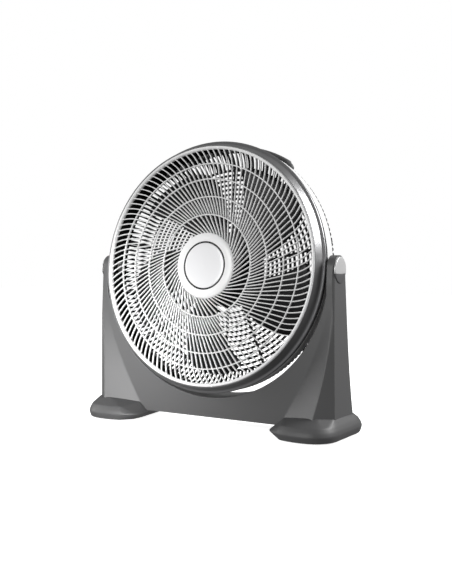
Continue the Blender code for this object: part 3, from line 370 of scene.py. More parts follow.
GREY_INSERT = plastic("cap_insert_grey", (0.085, 0.085, 0.087), 0.42, grain=0.18)


# ---------------------------------------------------------------- front grille and hub

def spoke_angle(radius):
    """How far round a spoke has swung at this radius."""
    steps, total = 40, 0.0
    for i in range(steps):
        r = HUB_RADIUS + (radius - HUB_RADIUS) * (i + 0.5) / steps
        total += between(r, SLANT_AT, SLANT) / r * (radius - HUB_RADIUS) / steps
    return total


def spoke(verts, faces, turn, low, high, steps):
    """Adds one slanting spoke from low to high radius."""
    path, across = [], []
    for i in range(steps + 1):
        r = low + (high - low) * i / steps
        angle = turn + spoke_angle(r)
        slant = between(r, SLANT_AT, SLANT)
        heading = angle + atan2(slant, 1.0)
        path.append((r * cos(angle), r * sin(angle), lattice_front(r)))
        across.append((-sin(heading), cos(heading)))
    bar(verts, faces, path, SPOKE_WIDTH, SPOKE_DEPTH, across)


def hoop(verts, faces, radius, width, depth, front, segments=180):
    """Adds a ring with a rounded face. A negative depth turns the rounded face to the rear."""
    section = [(-0.5, -1.0), (-0.5, -0.3), (-0.3, -0.05), (0.0, 0.0), (0.3, -0.05), (0.5, -0.3), (0.5, -1.0)]
    start, size = len(verts), len(section)
    for k in range(segments):
        angle = 2 * pi * k / segments
        for u, v in section:
            r = radius + u * width
            verts.append((r * cos(angle), r * sin(angle), front + v * depth))
    for k in range(segments):
        a, b = start + k * size, start + (k + 1) % segments * size
        for j in range(size):
            n = (j + 1) % size
            faces.append((a + j, a + n, b + n, b + j))


def lattice_front(r):
    """Place along the axis of the spokes' fronts: level, then rising into the rim past the last ring."""
    return LATTICE_FRONT - 0.0006 + LATTICE_LIFT * max(0.0, (r - RING_RADII[-1]) / LATTICE_LIFT_WIDTH) ** 2


verts, faces = [], []
bands = (HUB_RADIUS - HUB_OVERLAP,) + RING_RADII + (LATTICE_RADIUS,)
for band, steps in enumerate(SPOKE_STEPS):
    number = INNER_SPOKES if band == 0 else OUTER_SPOKES
    for k in range(number):
        spoke(verts, faces, 2 * pi * k / number, bands[band], bands[band + 1], steps)
for radius in RING_RADII:
    hoop(verts, faces, radius, RING_WIDTH, RING_DEPTH, lattice_front(radius) + 0.0003)
add_mesh("front_grille_lattice", verts, faces, "head", "grille_white", WHITE, ["grille_front"], HEAD)
lathe("front_grille_rim",
      [(RIM_RADIUS, RIM_FRONT - 0.0006), (RIM_RADIUS - 0.0030, RIM_FRONT),
       (LATTICE_RADIUS, RIM_FRONT - 0.0016),
       (LATTICE_RADIUS - 0.0012, RIM_FRONT - 0.0048), (LATTICE_RADIUS - 0.0006, LATTICE_FRONT - 0.0060),
       (RIM_RADIUS - RIM_WALL, LATTICE_FRONT - 0.0064), (RIM_RADIUS - RIM_WALL, SKIRT_REAR),
       (RIM_RADIUS, SKIRT_REAR)],
      240, "head", "grille_white", WHITE, ["grille_front"], radius=0.0012)
# A thin near-black sheet inside the grille's white skirt: painted shade for the shade inside the head.
lathe("grille_skirt_painted_shade_sheet",
      [(RIM_RADIUS - 0.0031, LATTICE_FRONT - 0.0060), (RIM_RADIUS - 0.0031, SKIRT_REAR - 0.0004),
       (RIM_RADIUS - 0.0039, SKIRT_REAR - 0.0004), (RIM_RADIUS - 0.0039, LATTICE_FRONT - 0.0060)],
      240, "head", "switch_black", PAINTED_SHADE_BLACK, ["grille_front"], radius=0.0002)
hub_front = LATTICE_FRONT + 0.0003
groove_radius = BADGE_RADIUS + 0.0010
lathe("hub_disc",
      [(0.0, hub_front + 0.0002), (groove_radius, hub_front + 0.0002), (groove_radius, hub_front + 0.0031),
       (HUB_RADIUS - 0.0100, hub_front + 0.0030), (HUB_RADIUS - 0.0028, hub_front + 0.0018, 0.004),
       (HUB_RADIUS - 0.0004, hub_front - 0.0012, 0.0014), (HUB_RADIUS - 0.0010, hub_front - 0.0050),
       (0.0, hub_front - 0.0050)],
      160, "head", "grille_white", WHITE, ["hub_cap"], radius=0.0005)
seat = hub_front + 0.0012
lathe("hub_badge_plate",
      [(0.0, seat + 0.0031), (BADGE_RADIUS * 0.35, seat + 0.0030, 0.01),
       (BADGE_RADIUS * 0.75, seat + 0.0026, 0.01), (BADGE_RADIUS - 0.0026, seat + 0.0019, 0.0010),
       (BADGE_RADIUS - 0.0024, seat - 0.0006), (0.0, seat - 0.0006)],
      160, "head", "badge_white", BADGE, ["hub_badge"], radius=0.0004)

# A thin near-black ring in the floor of the hub's groove: painted shade, darkening the groove where shade
# falls.
lathe("hub_groove_painted_shade",
      [(BADGE_RADIUS - 0.0030, hub_front + 0.0003), (groove_radius, hub_front + 0.0003),
       (groove_radius, hub_front + 0.0016), (BADGE_RADIUS - 0.0030, hub_front + 0.0016)],
      160, "head", "stand_grey", DARK, ["hub_cap"], radius=0.0002)

# ---------------------------------------------------------------- silver trim ring

lathe("silver_trim_ring",
      [(TRIM_INNER_RADIUS, RIM_FRONT, 0.0004), (TRIM_INNER_RADIUS + 0.0022, RIM_FRONT - 0.0004, 0.0012),
       (TRIM_OUTER_RADIUS - 0.0062, RIM_FRONT - 0.0196, 0.0030),
       (TRIM_OUTER_RADIUS - 0.0044, RIM_FRONT - 0.0216, 0.0010),
       (TRIM_OUTER_RADIUS - 0.0008, RIM_FRONT - 0.0228, 0.0014),
       (TRIM_OUTER_RADIUS, RIM_FRONT - 0.0250, 0.0010), (TRIM_OUTER_RADIUS, BAND_FRONT - 0.0022, 0.0004),
       (TRIM_OUTER_RADIUS - 0.0024, BAND_FRONT - 0.0022, 0.0004),
       (TRIM_OUTER_RADIUS - 0.0028, RIM_FRONT - 0.0240), (TRIM_OUTER_RADIUS - 0.0080, RIM_FRONT - 0.0214),
       (TRIM_INNER_RADIUS, RIM_FRONT - 0.0030, 0.0004)],
      300, "head", "silver", SILVER, ["trim_ring"], steps=4)

# ---------------------------------------------------------------- rear guard


def guard_depth(radius):
    """Place along the axis of the guard's outer face: flat in the middle, curving forward to the band."""
    if radius <= GUARD_FLAT_RADIUS:
        return GUARD_BACK
    share = (radius - GUARD_FLAT_RADIUS) / (BAND_RADIUS - GUARD_FLAT_RADIUS)
    return BAND_REAR + (GUARD_BACK - BAND_REAR) * sqrt(max(0.0, 1 - min(1.0, share) ** GUARD_CURVE))


def meridian(steps, low, high):
    """Points of the guard's outer face from low to high radius, closer together where it curves."""
    points = []
    for i in range(steps + 1):
        share = sin(pi / 2 * i / steps)
        r = low + (high - low) * share
        points.append((r, guard_depth(r)))
    return points


def shell_rib(verts, faces, turn, points, width, thick):
    """A rib that follows the guard's outer face, thick inwards and width across."""
    start = len(verts)
    ends = len(points)
    section = ((-0.5, 1.0), (-0.5, 0.25), (-0.25, 0.0), (0.25, 0.0), (0.5, 0.25), (0.5, 1.0))
    size = len(section)
    for i, (r, z) in enumerate(points):
        before, after = points[max(i - 1, 0)], points[min(i + 1, ends - 1)]
        tangent = Vector((after[0] - before[0], after[1] - before[1])).normalized()
        inward = Vector((-tangent.y, tangent.x))
        for u, v in section:
            rr, zz = r + inward.x * v * thick, z + inward.y * v * thick
            verts.append((rr * cos(turn) - u * width * sin(turn), rr * sin(turn) + u * width * cos(turn), zz))
    for i in range(ends - 1):
        for k in range(size):
            j = (k + 1) % size
            a = start + i * size
            faces.append((a + k, a + j, a + size + j, a + size + k))
    faces.append(tuple(range(start, start + size)))
    faces.append(tuple(range(len(verts) - size, len(verts)))[::-1])


verts, faces = [], []
rib_end = BAND_RADIUS - 0.0002
side_points = meridian(12, SIDE_RIB_START, rib_end)
for k in range(SIDE_RIBS):
    shell_rib(verts, faces, 2 * pi * k / SIDE_RIBS, side_points, SIDE_RIB_WIDTH, SIDE_RIB_DEPTH)
back_points = [(GUARD_HUB_RADIUS - 0.004, GUARD_BACK), (0.1400, GUARD_BACK)] + meridian(14, 0.1900, rib_end)
for k in range(BACK_RIBS):
    shell_rib(verts, faces, 2 * pi * (k + 0.5) / BACK_RIBS, back_points, BACK_RIB_WIDTH, BACK_RIB_DEPTH)
radius = GUARD_HUB_RADIUS + HOOP_PITCH
while radius < HOOP_LIMIT:
    hoop(verts, faces, radius, HOOP_WIDTH, -HOOP_DEPTH, guard_depth(radius) + 0.0004, 144)
    radius += HOOP_PITCH
add_mesh("rear_guard_ribs", verts, faces, "head", "stand_grey", DARK, ["rear_guard"], HEAD)
band_inner = BAND_RADIUS - BAND_WALL
band_end = BAND_REAR - 0.0022
ring_end = BAND_WHITE_FROM + 0.0002
lathe("rear_guard_band",
      [(BAND_RADIUS, BAND_WHITE_FROM), (BAND_RADIUS, band_end), (band_inner, band_end),
       (band_inner, BAND_WHITE_FROM)],
      240, "head", "guard_white", GUARD, ["rear_guard"], radius=0.0008)
lathe("rear_guard_front_ring",
      [(BAND_RADIUS, BAND_FRONT), (BAND_RADIUS, ring_end), (band_inner, ring_end), (band_inner, BAND_FRONT)],
      240, "head", "stand_grey", DARK, ["rear_guard"], radius=0.0006)
# A thin near-black sheet inside the white band, from its front to past its rear: painted shade for the deep
# shade inside the head behind the grille.
shade_sheet_radius = BAND_RADIUS - 0.0027
shade_sheet_tail_radius = BAND_RADIUS - 0.0052
lathe("shroud_painted_shade_sheet",
      [(shade_sheet_radius, BAND_FRONT - 0.0002), (shade_sheet_radius, BAND_REAR - 0.0020),
       (shade_sheet_tail_radius, BAND_REAR - 0.0080), (shade_sheet_tail_radius - SHADE_SHEET_WALL, BAND_REAR - 0.0080),
       (shade_sheet_radius - SHADE_SHEET_WALL, BAND_REAR - 0.0020), (shade_sheet_radius - SHADE_SHEET_WALL, BAND_FRONT - 0.0002)],
      180, "head", "switch_black", PAINTED_SHADE_BLACK, ["rear_guard"], radius=0.0002)
lathe("rear_guard_plate",
      [(GUARD_HUB_RADIUS, GUARD_BACK - 0.0001), (PLATE_BORE_RADIUS, GUARD_BACK - 0.0001),
       (PLATE_BORE_RADIUS, GUARD_BACK + PLATE_DEPTH), (GUARD_HUB_RADIUS, GUARD_BACK + PLATE_DEPTH)],
      96, "head", "stand_grey", DARK, ["rear_guard"], radius=0.0008)

# ---------------------------------------------------------------- blades


def blade(verts, faces, turn):
    """One blade: it leaves the hub steep, widens and flattens outwards, and sweeps round to a rounded tip."""
    rows, columns = 22, 20
    root = BLADE_HUB_RADIUS - 0.0020
    tops = []
    for i in range(rows + 1):
        share = i / rows
        r0 = root + (BLADE_RADIUS - root) * share
        half = BLADE_HALF_ANGLE - BLADE_NARROWING * share
        rise = BLADE_RISE + BLADE_RISE_GAIN * share
        sweep = BLADE_SWEEP * share ** 1.5
        row = []
        for j in range(columns + 1):
            across = 2 * j / columns - 1
            corner = 0.007 * across * across * share + 0.010 * abs(across) ** 8 * share ** 6
            angle = turn + sweep + half * across
            z = BLADE_HUB_FRONT - BLADE_HUB_DEPTH / 2 + rise * across * (0.92 + 0.16 * share)
            z += BLADE_CAMBER * (1 - across * across)
            row.append(Vector(((r0 - corner) * cos(angle), (r0 - corner) * sin(angle), z)))
        tops.append(row)
    start = len(verts)
    width = columns + 1
    for layer in (0.5, -0.5):
        for i in range(rows + 1):
            for j in range(width):
                du = tops[i][min(j + 1, columns)] - tops[i][max(j - 1, 0)]
                dv = tops[min(i + 1, rows)][j] - tops[max(i - 1, 0)][j]
                edge = min(j, columns - j, rows - i)
                taper = (0.35, 0.75, 0.95)[edge] if edge < 3 else 1.0
                verts.append(tops[i][j] + dv.cross(du).normalized() * layer * BLADE_THICK * taper)
    layer_size = (rows + 1) * width
    for i in range(rows):
        for j in range(columns):
            a = start + i * width + j
            faces.append((a, a + 1, a + width + 1, a + width))
            b = a + layer_size
            faces.append((b, b + width, b + width + 1, b + 1))
    rim = [(0, j) for j in range(columns)] + [(i, columns) for i in range(rows)]
    rim += [(rows, j) for j in range(columns, 0, -1)] + [(i, 0) for i in range(rows, 0, -1)]
    for k, (i, j) in enumerate(rim):
        p, q = rim[(k + 1) % len(rim)]
        a, b = start + i * width + j, start + p * width + q
        faces.append((a, b, b + layer_size, a + layer_size))


verts, faces = [], []
for k in range(BLADE_COUNT):
    blade(verts, faces, 2 * pi * k / BLADE_COUNT + BLADE_START)
add_mesh("fan_blades", verts, faces, "rotor", "blade_grey", BLADE, ["fan_blade"], HEAD)
outer = BLADE_HUB_RADIUS
front, back = BLADE_HUB_FRONT, BLADE_HUB_FRONT - BLADE_HUB_DEPTH
lathe("fan_hub",
      [(SHAFT_BORE_RADIUS, front), (outer - 0.0060, front, 0.002), (outer, front - 0.0060, 0.003),
       (outer, back), (outer - BLADE_HUB_WALL, back), (outer - BLADE_HUB_WALL, front - 0.0060),
       (outer - 0.0080, front - 0.0030),
       (0.0110, front - 0.0030), (0.0110, back + 0.0040), (SHAFT_BORE_RADIUS, back + 0.0040)],
      96, "rotor", "blade_grey", BLADE, ["fan_blade"])
nut = front + 0.0003
lathe("spinner_nut",
      [(0.0, nut + 0.0160), (0.0080, nut + 0.0150, 0.004), (0.0130, nut + 0.0100, 0.004), (0.0140, nut),
       (SHAFT_BORE_RADIUS, nut), (SHAFT_BORE_RADIUS, nut + 0.0098), (0.0, nut + 0.0098)],
      48, "rotor", "blade_grey", BLADE, ["blade_nut"])

# ---------------------------------------------------------------- handle


def tube(name, path, thick, *facts, segments=20, **more):
    """A closed tube of radius thick along path, in the head's own axes."""
    verts, faces, rows = [], [], []
    count = len(path)
    for i, point in enumerate(path):
        before, after = Vector(path[max(i - 1, 0)]), Vector(path[min(i + 1, count - 1)])
        heading = (after - before).normalized()
        side = heading.cross(Vector((0.0, 0.0, 1.0))).normalized()
        lift = side.cross(heading)
        rows.append(len(verts))
        for k in range(segments):
            angle = 2 * pi * k / segments
            verts.append(Vector(point) + side * thick * cos(angle) + lift * thick * sin(angle))
    for a, b in zip(rows, rows[1:]):
        for k in range(segments):
            j = (k + 1) % segments
            faces.append((a + k, a + j, b + j, b + k))
    faces.append(tuple(range(segments)))
    faces.append(tuple(range(rows[-1], rows[-1] + segments))[::-1])
    return add_mesh(name, verts, faces, *facts, **more)


handle_front = BAND_REAR - 0.0025
handle_foot_radius = BAND_RADIUS - HANDLE_TUBE + 0.0060
leg_steps, grip_steps = 12, 24
path = []
for i in range(leg_steps + 1):
    share = i / leg_steps
    path.append((HANDLE_HALF_ANGLE - HANDLE_FLARE * sin(share * pi / 2),
                 handle_front + (HANDLE_BEHIND - handle_front) * share ** 0.8,
                 handle_foot_radius + (HANDLE_RADIUS - handle_foot_radius) * share))
grip_angle = path[-1][0]
path += [(grip_angle * (1 - i / grip_steps), HANDLE_BEHIND, HANDLE_RADIUS) for i in range(1, grip_steps + 1)]
path += [(-a, z, r) for a, z, r in reversed(path[:-1])]
tube("carry_handle", [(r * sin(a), r * cos(a), z) for a, z, r in path], HANDLE_TUBE,
     "head", "stand_grey", STAND, replaced=["handle"], local=HEAD)

# ---------------------------------------------------------------- motor cover, knob and dial marks

plate_back = GUARD_BACK - 0.0006
wall_inside = MOTOR_RADIUS - MOTOR_WALL
lathe("motor_housing",
      [(MOTOR_FLANGE_RADIUS, plate_back, 0.0005), (MOTOR_FLANGE_RADIUS, plate_back - MOTOR_WALL, 0.0012),
       (MOTOR_RADIUS + 0.0010, plate_back - MOTOR_WALL, 0.002), (MOTOR_RADIUS, plate_back - 0.0060, 0.003),
       (MOTOR_RADIUS - 0.0012, MOTOR_REAR + 0.0100, 0.006),
       (MOTOR_RADIUS - 0.0100, MOTOR_REAR + 0.0004, 0.006),
       (MOTOR_RADIUS - 0.0200, MOTOR_REAR, 0.002), (MOTOR_RADIUS - 0.0206, MOTOR_REAR + 0.0008, 0.0004),
       (MOTOR_RADIUS - 0.0216, MOTOR_REAR + 0.0008, 0.0004), (MOTOR_RADIUS - 0.0222, MOTOR_REAR, 0.0004),
       (0.0, MOTOR_REAR), (0.0, MOTOR_REAR + MOTOR_WALL), (MOTOR_RADIUS - 0.0110, MOTOR_REAR + MOTOR_WALL),
       (MOTOR_RADIUS - 0.0040, MOTOR_REAR + 0.0100), (wall_inside, plate_back)],
      160, "head", "housing_white", HOUSING, ["motor_cover"], radius=0.0008)
knob_y = (HEAD.inverted() @ KNOB_AXIS).y
knob_end = MOTOR_REAR - KNOB_DEPTH


def knob_row(radius, z, deep):
    """One ring of the knob's skirt, with finger flutes that are deep inwards."""
    ring = []
    for k in range(KNOB_POINTS):
        angle = 2 * pi * k / KNOB_POINTS
        r = radius - deep * (0.5 + 0.5 * cos(angle * KNOB_FLUTES))
        ring.append((r * cos(angle), knob_y + r * sin(angle), z))
    return ring


knob_rows = [knob_row(KNOB_RADIUS + 0.0018, MOTOR_REAR - 0.0010, 0.0),
             knob_row(KNOB_RADIUS + 0.0020, MOTOR_REAR - 0.0014, 0.0),
             knob_row(KNOB_RADIUS + 0.0020, MOTOR_REAR - 0.0030, 0.0),
             knob_row(KNOB_RADIUS + 0.0014, MOTOR_REAR - 0.0036, 0.0),
             knob_row(KNOB_RADIUS, MOTOR_REAR - 0.0042, 0.0),
             knob_row(KNOB_RADIUS - 0.0002, MOTOR_REAR - 0.0052, KNOB_FLUTE_DEPTH),
             knob_row(KNOB_RADIUS - 0.0012, knob_end + 0.0012, KNOB_FLUTE_DEPTH),
             knob_row(KNOB_RADIUS - 0.0022, knob_end + 0.0003, 0.0003),
             knob_row(KNOB_RADIUS - 0.0034, knob_end, 0.0)]
verts, faces = [], []
for ring in knob_rows:
    verts += ring
for i in range(len(knob_rows) - 1):
    here, below = i * KNOB_POINTS, (i + 1) * KNOB_POINTS
    for k in range(KNOB_POINTS):
        j = (k + 1) % KNOB_POINTS
        faces.append((here + k, here + j, below + j, below + k))
faces += [tuple(range(KNOB_POINTS)), tuple(range(len(verts) - KNOB_POINTS, len(verts)))[::-1]]
knob = add_mesh("speed_knob_body", verts, faces, "knob", "stand_grey", GREY_INSERT, ["speed_knob"], HEAD)
sharpen(knob, 40)


def soft_box(name, low, high, bevel, *facts, **more):
    """A block with rounded edges, its top drawn in a little."""
    verts = []
    taper = bevel * 0.8
    for z, pull in ((low[2], 0.0), (high[2], taper)):
        verts += [(low[0] + pull, low[1] + pull, z), (high[0] - pull, low[1] + pull, z),
                  (high[0] - pull, high[1] - pull, z), (low[0] + pull, high[1] - pull, z)]
    faces = [(0, 3, 2, 1), (4, 5, 6, 7), (0, 1, 5, 4), (1, 2, 6, 5), (2, 3, 7, 6), (3, 0, 4, 7)]
    made = add_mesh(name, verts, faces, *facts, **more)
    soft = made.modifiers.new("edges", "BEVEL")
    soft.width = bevel
    soft.segments = 3
    return weighted(made)


soft_box("speed_knob_grip", (-0.0030, knob_y - KNOB_RADIUS + 0.0016, knob_end + 0.0030),
         (0.0030, knob_y + KNOB_RADIUS - 0.0016, knob_end - 0.0050), 0.0009,
         "knob", "stand_grey", GREY_INSERT, replaced=["speed_knob"], local=HEAD)
soft_box("speed_knob_pointer", (-0.0007, knob_y + KNOB_RADIUS - 0.0110, knob_end - 0.0046),
         (0.0007, knob_y + KNOB_RADIUS - 0.0030, knob_end - 0.0053), 0.0002,
         "knob", "badge_white", WHITE, replaced=["speed_knob"], local=HEAD)
mark_start = KNOB_RADIUS + DIAL_GAP
for k in range(DIAL_MARKS):
    angle = pi / 2 - DIAL_STEP * k
    turn = Matrix.Translation((0.0, knob_y, 0.0)) @ Matrix.Rotation(angle, 4, "Z")
    mark_end = mark_start + 0.0026 + 0.0012 * k
    soft_box(f"dial_mark_{k}", (mark_start, -0.0006, MOTOR_REAR + 0.0003),
             (mark_end, 0.0006, MOTOR_REAR - 0.0005), 0.0002,
             "head", "stand_grey", GREY_INSERT, local=HEAD @ turn)

# ---------------------------------------------------------------- stand


def row_depths(z):
    """Front and rear of the stand at this height, measured from the tilt axis."""
    above = z - PIVOT.z
    if above >= 0:
        reach = sqrt(max(ARM_TOP_RADIUS ** 2 - above ** 2, 0.0))
        return -reach, reach
    rear = ARM_TOP_RADIUS + REAR_SLOPE * -above + REAR_SWELL * above ** 4
    front = PANEL_FRONT_Y
    if above >= -PANEL_BLEND:
        front = -ARM_TOP_RADIUS - (ARM_TOP_RADIUS + PANEL_FRONT_Y) * above / PANEL_BLEND
    return front, rear


def cutout_curve(offset, arm_steps=ARM_STEPS, top_steps=TOP_STEPS):
    """The U of the stand, from its lowest point up to the arm's top, moved into the material by offset."""
    radius, straight = CUTOUT_RADIUS + offset, ARM_INNER_X + offset
    last = asin(straight / radius)
    points = [(radius * sin(last * i / ARC_STEPS), PIVOT.z - radius * cos(last * i / ARC_STEPS))
              for i in range(ARC_STEPS + 1)]
    low = points[-1][1]
    points += [(straight, low + (PIVOT.z - low) * i / arm_steps) for i in range(1, arm_steps + 1)]
    points += [(straight, PIVOT.z + ARM_TOP_RADIUS * sin(pi / 2 * i / top_steps))
               for i in range(1, top_steps + 1)]
    return points


def side_x(z):
    """How far out the stand's side is at this height."""
    return ARM_OUTER_X + (LEG_OUTER_X - ARM_OUTER_X) * (PIVOT.z - z) / (PIVOT.z - PANEL_BOTTOM)


def leg_section(z, start_x, front, rear, wall):
    """Front outline of a leg at this height, from the cutout outwards and round its side to the rear."""
    outer = side_x(z)
    share = min(max((PIVOT.z - RIDGE_BELOW_PIVOT - z) / RIDGE_HEIGHT, 0.0), 1.15)
    chamfer = -0.0010 + 0.0095 * (z - (PIVOT.z - 0.150)) / 0.200
    chamfer = max(chamfer - (front - PANEL_FRONT_Y), 0.0011)
    half = max((rear - front) / 2, 0.0)
    chamfer = min(chamfer, half * 0.7)
    ridge_x = outer - 0.004 - chamfer * 0.2 - RIDGE_INWARD * share ** 1.8
    ridge_y = front - RIDGE_FORWARD * share ** 2.0
    join = outer - 0.012 - RIDGE_WIDTH * share ** 1.5
    corners = [(start_x, front), (max(join, start_x + 0.001), front, 0.0030), (ridge_x, ridge_y, 0.0022),
               (outer - chamfer, front, 0.0016), (outer, front + chamfer, 0.0016), (outer, rear, 0.0014),
               (outer - wall, rear, 0.0)]
    out = []
    smooth = rounded(corners, 0.0, 3, closed=False)
    # Long stretches are divided, so that rows at all heights have the same even points.
    counts = [6, 1, 1, 1, 4, 1, 1, 1, 3, 1, 1, 1, 1, 1, 1, 1, 6, 1, 1, 1, 1]
    for i in range(len(smooth) - 1):
        for k in range(counts[i]):
            out.append(smooth[i].lerp(smooth[i + 1], k / counts[i]))
    out.append(smooth[-1])
    return out


def make_stand_half(side):
    """Half of the stand as a closed skin apart from its middle, where the other half meets it."""
    edge = cutout_curve(EDGE_SOFTNESS)
    lip = cutout_curve(WALL)
    verts, faces = [], []

    def grid(rows):
        """Adds the skin through rows of points."""
        start = len(verts)
        size = len(rows[0])
        for row in rows:
            verts.extend([(side * x, y + PIVOT.y, z) for x, y, z in row])
        for i in range(len(rows) - 1):
            for j in range(size - 1):
                a = start + i * size + j
                faces.append((a, a + 1, a + size + 1, a + size))

    low = [PANEL_BOTTOM + (edge[0][1] - PANEL_BOTTOM) * i / 8 for i in range(8)]
    front_rows, rear_rows = [], []
    for z, start_x, lip_point in [(z, 0.0, None) for z in low] + [(p[1], p[0], q) for p, q in zip(edge, lip)]:
        front, rear = row_depths(z)
        section = leg_section(z, start_x, front, rear, WALL)
        deep = RECESS if z < RECESS_TOP else RECESS_NONE
        deep = min(deep, (rear - front) * 0.3)
        front_rows.append([(p.x, p.y, z) for p in section] + [(side_x(z) - WALL, rear - deep, z)])
        end = (0.0, rear - deep, z)
        if lip_point is not None:
            end = (lip_point[0], row_depths(lip_point[1])[1] - deep, lip_point[1])
        begin = Vector(front_rows[-1][-1])
        rear_rows.append([begin.lerp(Vector(end), k / 10) for k in range(11)])
    grid(front_rows)
    grid(rear_rows)
    steps = 4
    rim_rows = []
    curves = [cutout_curve(EDGE_SOFTNESS * (1 - sin(pi / 2 * k / steps))) for k in range(steps + 1)]
    for i in range(len(edge)):
        row = []
        span = row_depths(edge[i][1])
        reach = min(EDGE_SOFTNESS, (span[1] - span[0]) * 0.4)
        for k in range(steps + 1):
            x, z = curves[k][i]
            row.append((x, span[0] + reach * (1 - cos(pi / 2 * k / steps)), z))
        for k in range(1, 6):
            x, z = curves[-1][i]
            first, last = row[steps][1], row_depths(z)[1] - reach
            row.append((x, first + (last - first) * k / 6, z))
        for k in range(steps, -1, -1):
            x, z = curves[k][i]
            row.append((x, row_depths(z)[1] - reach * (1 - cos(pi / 2 * k / steps)), z))
        lip_rear = row_depths(lip[i][1])[1]
        deep = RECESS if edge[i][1] < RECESS_TOP else RECESS_NONE
        deep = min(deep, (span[1] - span[0]) * 0.3)
        row.append((lip[i][0], lip_rear, lip[i][1]))
        row.append((lip[i][0], lip_rear - deep, lip[i][1]))
        rim_rows.append(row)
    grid(rim_rows)
    bottom = len(front_rows[0])
    return verts, faces, bottom


verts, faces = [], []
for label, side in SIDES:
    half_verts, half_faces, bottom = make_stand_half(side)
    start = len(verts)
    verts += half_verts
    faces += [tuple(start + v for v in face) for face in half_faces]
    corner = half_verts[bottom - 1]
    outline = list(range(start, start + bottom))
    verts.append((0.0, corner[1], PANEL_BOTTOM))
    faces.append(tuple(outline + [len(verts) - 1]))
stand = add_mesh("stand_body_shell", verts, faces, "stand", "stand_grey", STAND, ["stand_shell"],
                 merge=JOIN_DISTANCE)
sharpen(stand, 50)
weighted(stand)


def back_plate():
    """The plate in the stand's open back, a little below its edges."""
    gap = WALL + PLATE_GAP
    curve = [p for p in cutout_curve(gap, PLATE_ARM_STEPS, PLATE_TOP_STEPS) if p[1] < PLATE_TOP]
    bottom = PANEL_BOTTOM + 0.0030
    low_steps = 6
    verts, faces = [], []
    for side in (-1.0, 1.0):
        rows = []
        low = [(0.0, bottom + (curve[0][1] - bottom) * i / low_steps) for i in range(low_steps)]
        for start_x, z in low + curve:
            outer = side_x(z) - gap
            rear = row_depths(z)[1]
            xs = [start_x + (outer - start_x) * k / 10 for k in range(11)]
            row = [(x, rear - 0.0006, z) for x in xs]
            row += [(outer, rear - 0.0034, z)]
            row += [(x, rear - 0.0034, z) for x in reversed(xs)]
            rows.append(row)
        start, size = len(verts), len(rows[0])
        for row in rows:
            verts += [(side * x, y + PIVOT.y, z) for x, y, z in row]
        for i in range(len(rows) - 1):
            for j in range(size - 1):
                a = start + i * size + j
                faces.append((a, a + 1, a + size + 1, a + size))
            if i >= low_steps:
                a = start + i * size
                faces.append((a + size - 1, a, a + size, a + size + size - 1))
        faces.append(tuple(range(start, start + size)))
        faces.append(tuple(range(start + (len(rows) - 1) * size, start + len(rows) * size))[::-1])
    return verts, faces


verts, faces = back_plate()
plate = add_mesh("stand_back_plate", verts, faces, "stand", "stand_grey", FOOT, ["stand_rear_cover"],
                 merge=JOIN_DISTANCE)
sharpen(plate, 30)

# ---------------------------------------------------------------- feet

# Plan outlines of a foot, outwards and rearwards from its centre. The crown's points also have a height.
FOOT_RIM = [(0.068, 0.000), (0.070, 0.040), (0.070, 0.074), (0.056, 0.102), (0.020, 0.110), (-0.020, 0.104),
            (-0.050, 0.084), (-0.066, 0.060), (-0.076, 0.020), (-0.080, -0.015), (-0.079, -0.042),
            (-0.070, -0.064), (-0.040, -0.084), (0.000, -0.091), (0.036, -0.086), (0.058, -0.068),
            (0.067, -0.042)]
FOOT_SOLE = [(-0.052, 0.060), (-0.054, 0.006), (-0.060, -0.034), (-0.058, -0.056)]
FOOT_CROWN = [(-0.055, -0.029, 0.038), (-0.026, -0.036, 0.042), (0.005, -0.057, 0.046),
              (0.030, -0.055, 0.047), (0.054, -0.030, 0.045), (0.057, 0.066, 0.042), (0.045, 0.085, 0.040),
              (-0.035, 0.085, 0.038), (-0.052, 0.055, 0.038)]
FOOT_CENTRE_X = 0.2350
FOOT_LIFT = 0.0030
FOOT_RIM_HEIGHT = FOOT_LIFT + 0.0125
FOOT_EDGE_FROM = -0.045
FOOT_EDGE = ((0.955, FOOT_LIFT), (0.972, 0.0235), (0.915, 0.0320))
FOOT_VOXEL = 0.0016


def curve_through(points, steps):
    """A closed smooth curve through the points."""
    out = []
    count = len(points)
    for i in range(count):
        p0, p1, p2, p3 = (Vector(points[(i + k) % count]) for k in (-1, 0, 1, 2))
        for k in range(steps):
            t = k / steps
            out.append(0.5 * (2 * p1 + (p2 - p0) * t + (2 * p0 - 5 * p1 + 4 * p2 - p3) * t * t
                              + (3 * p1 - p0 - 3 * p2 + p3) * t ** 3))
    return out


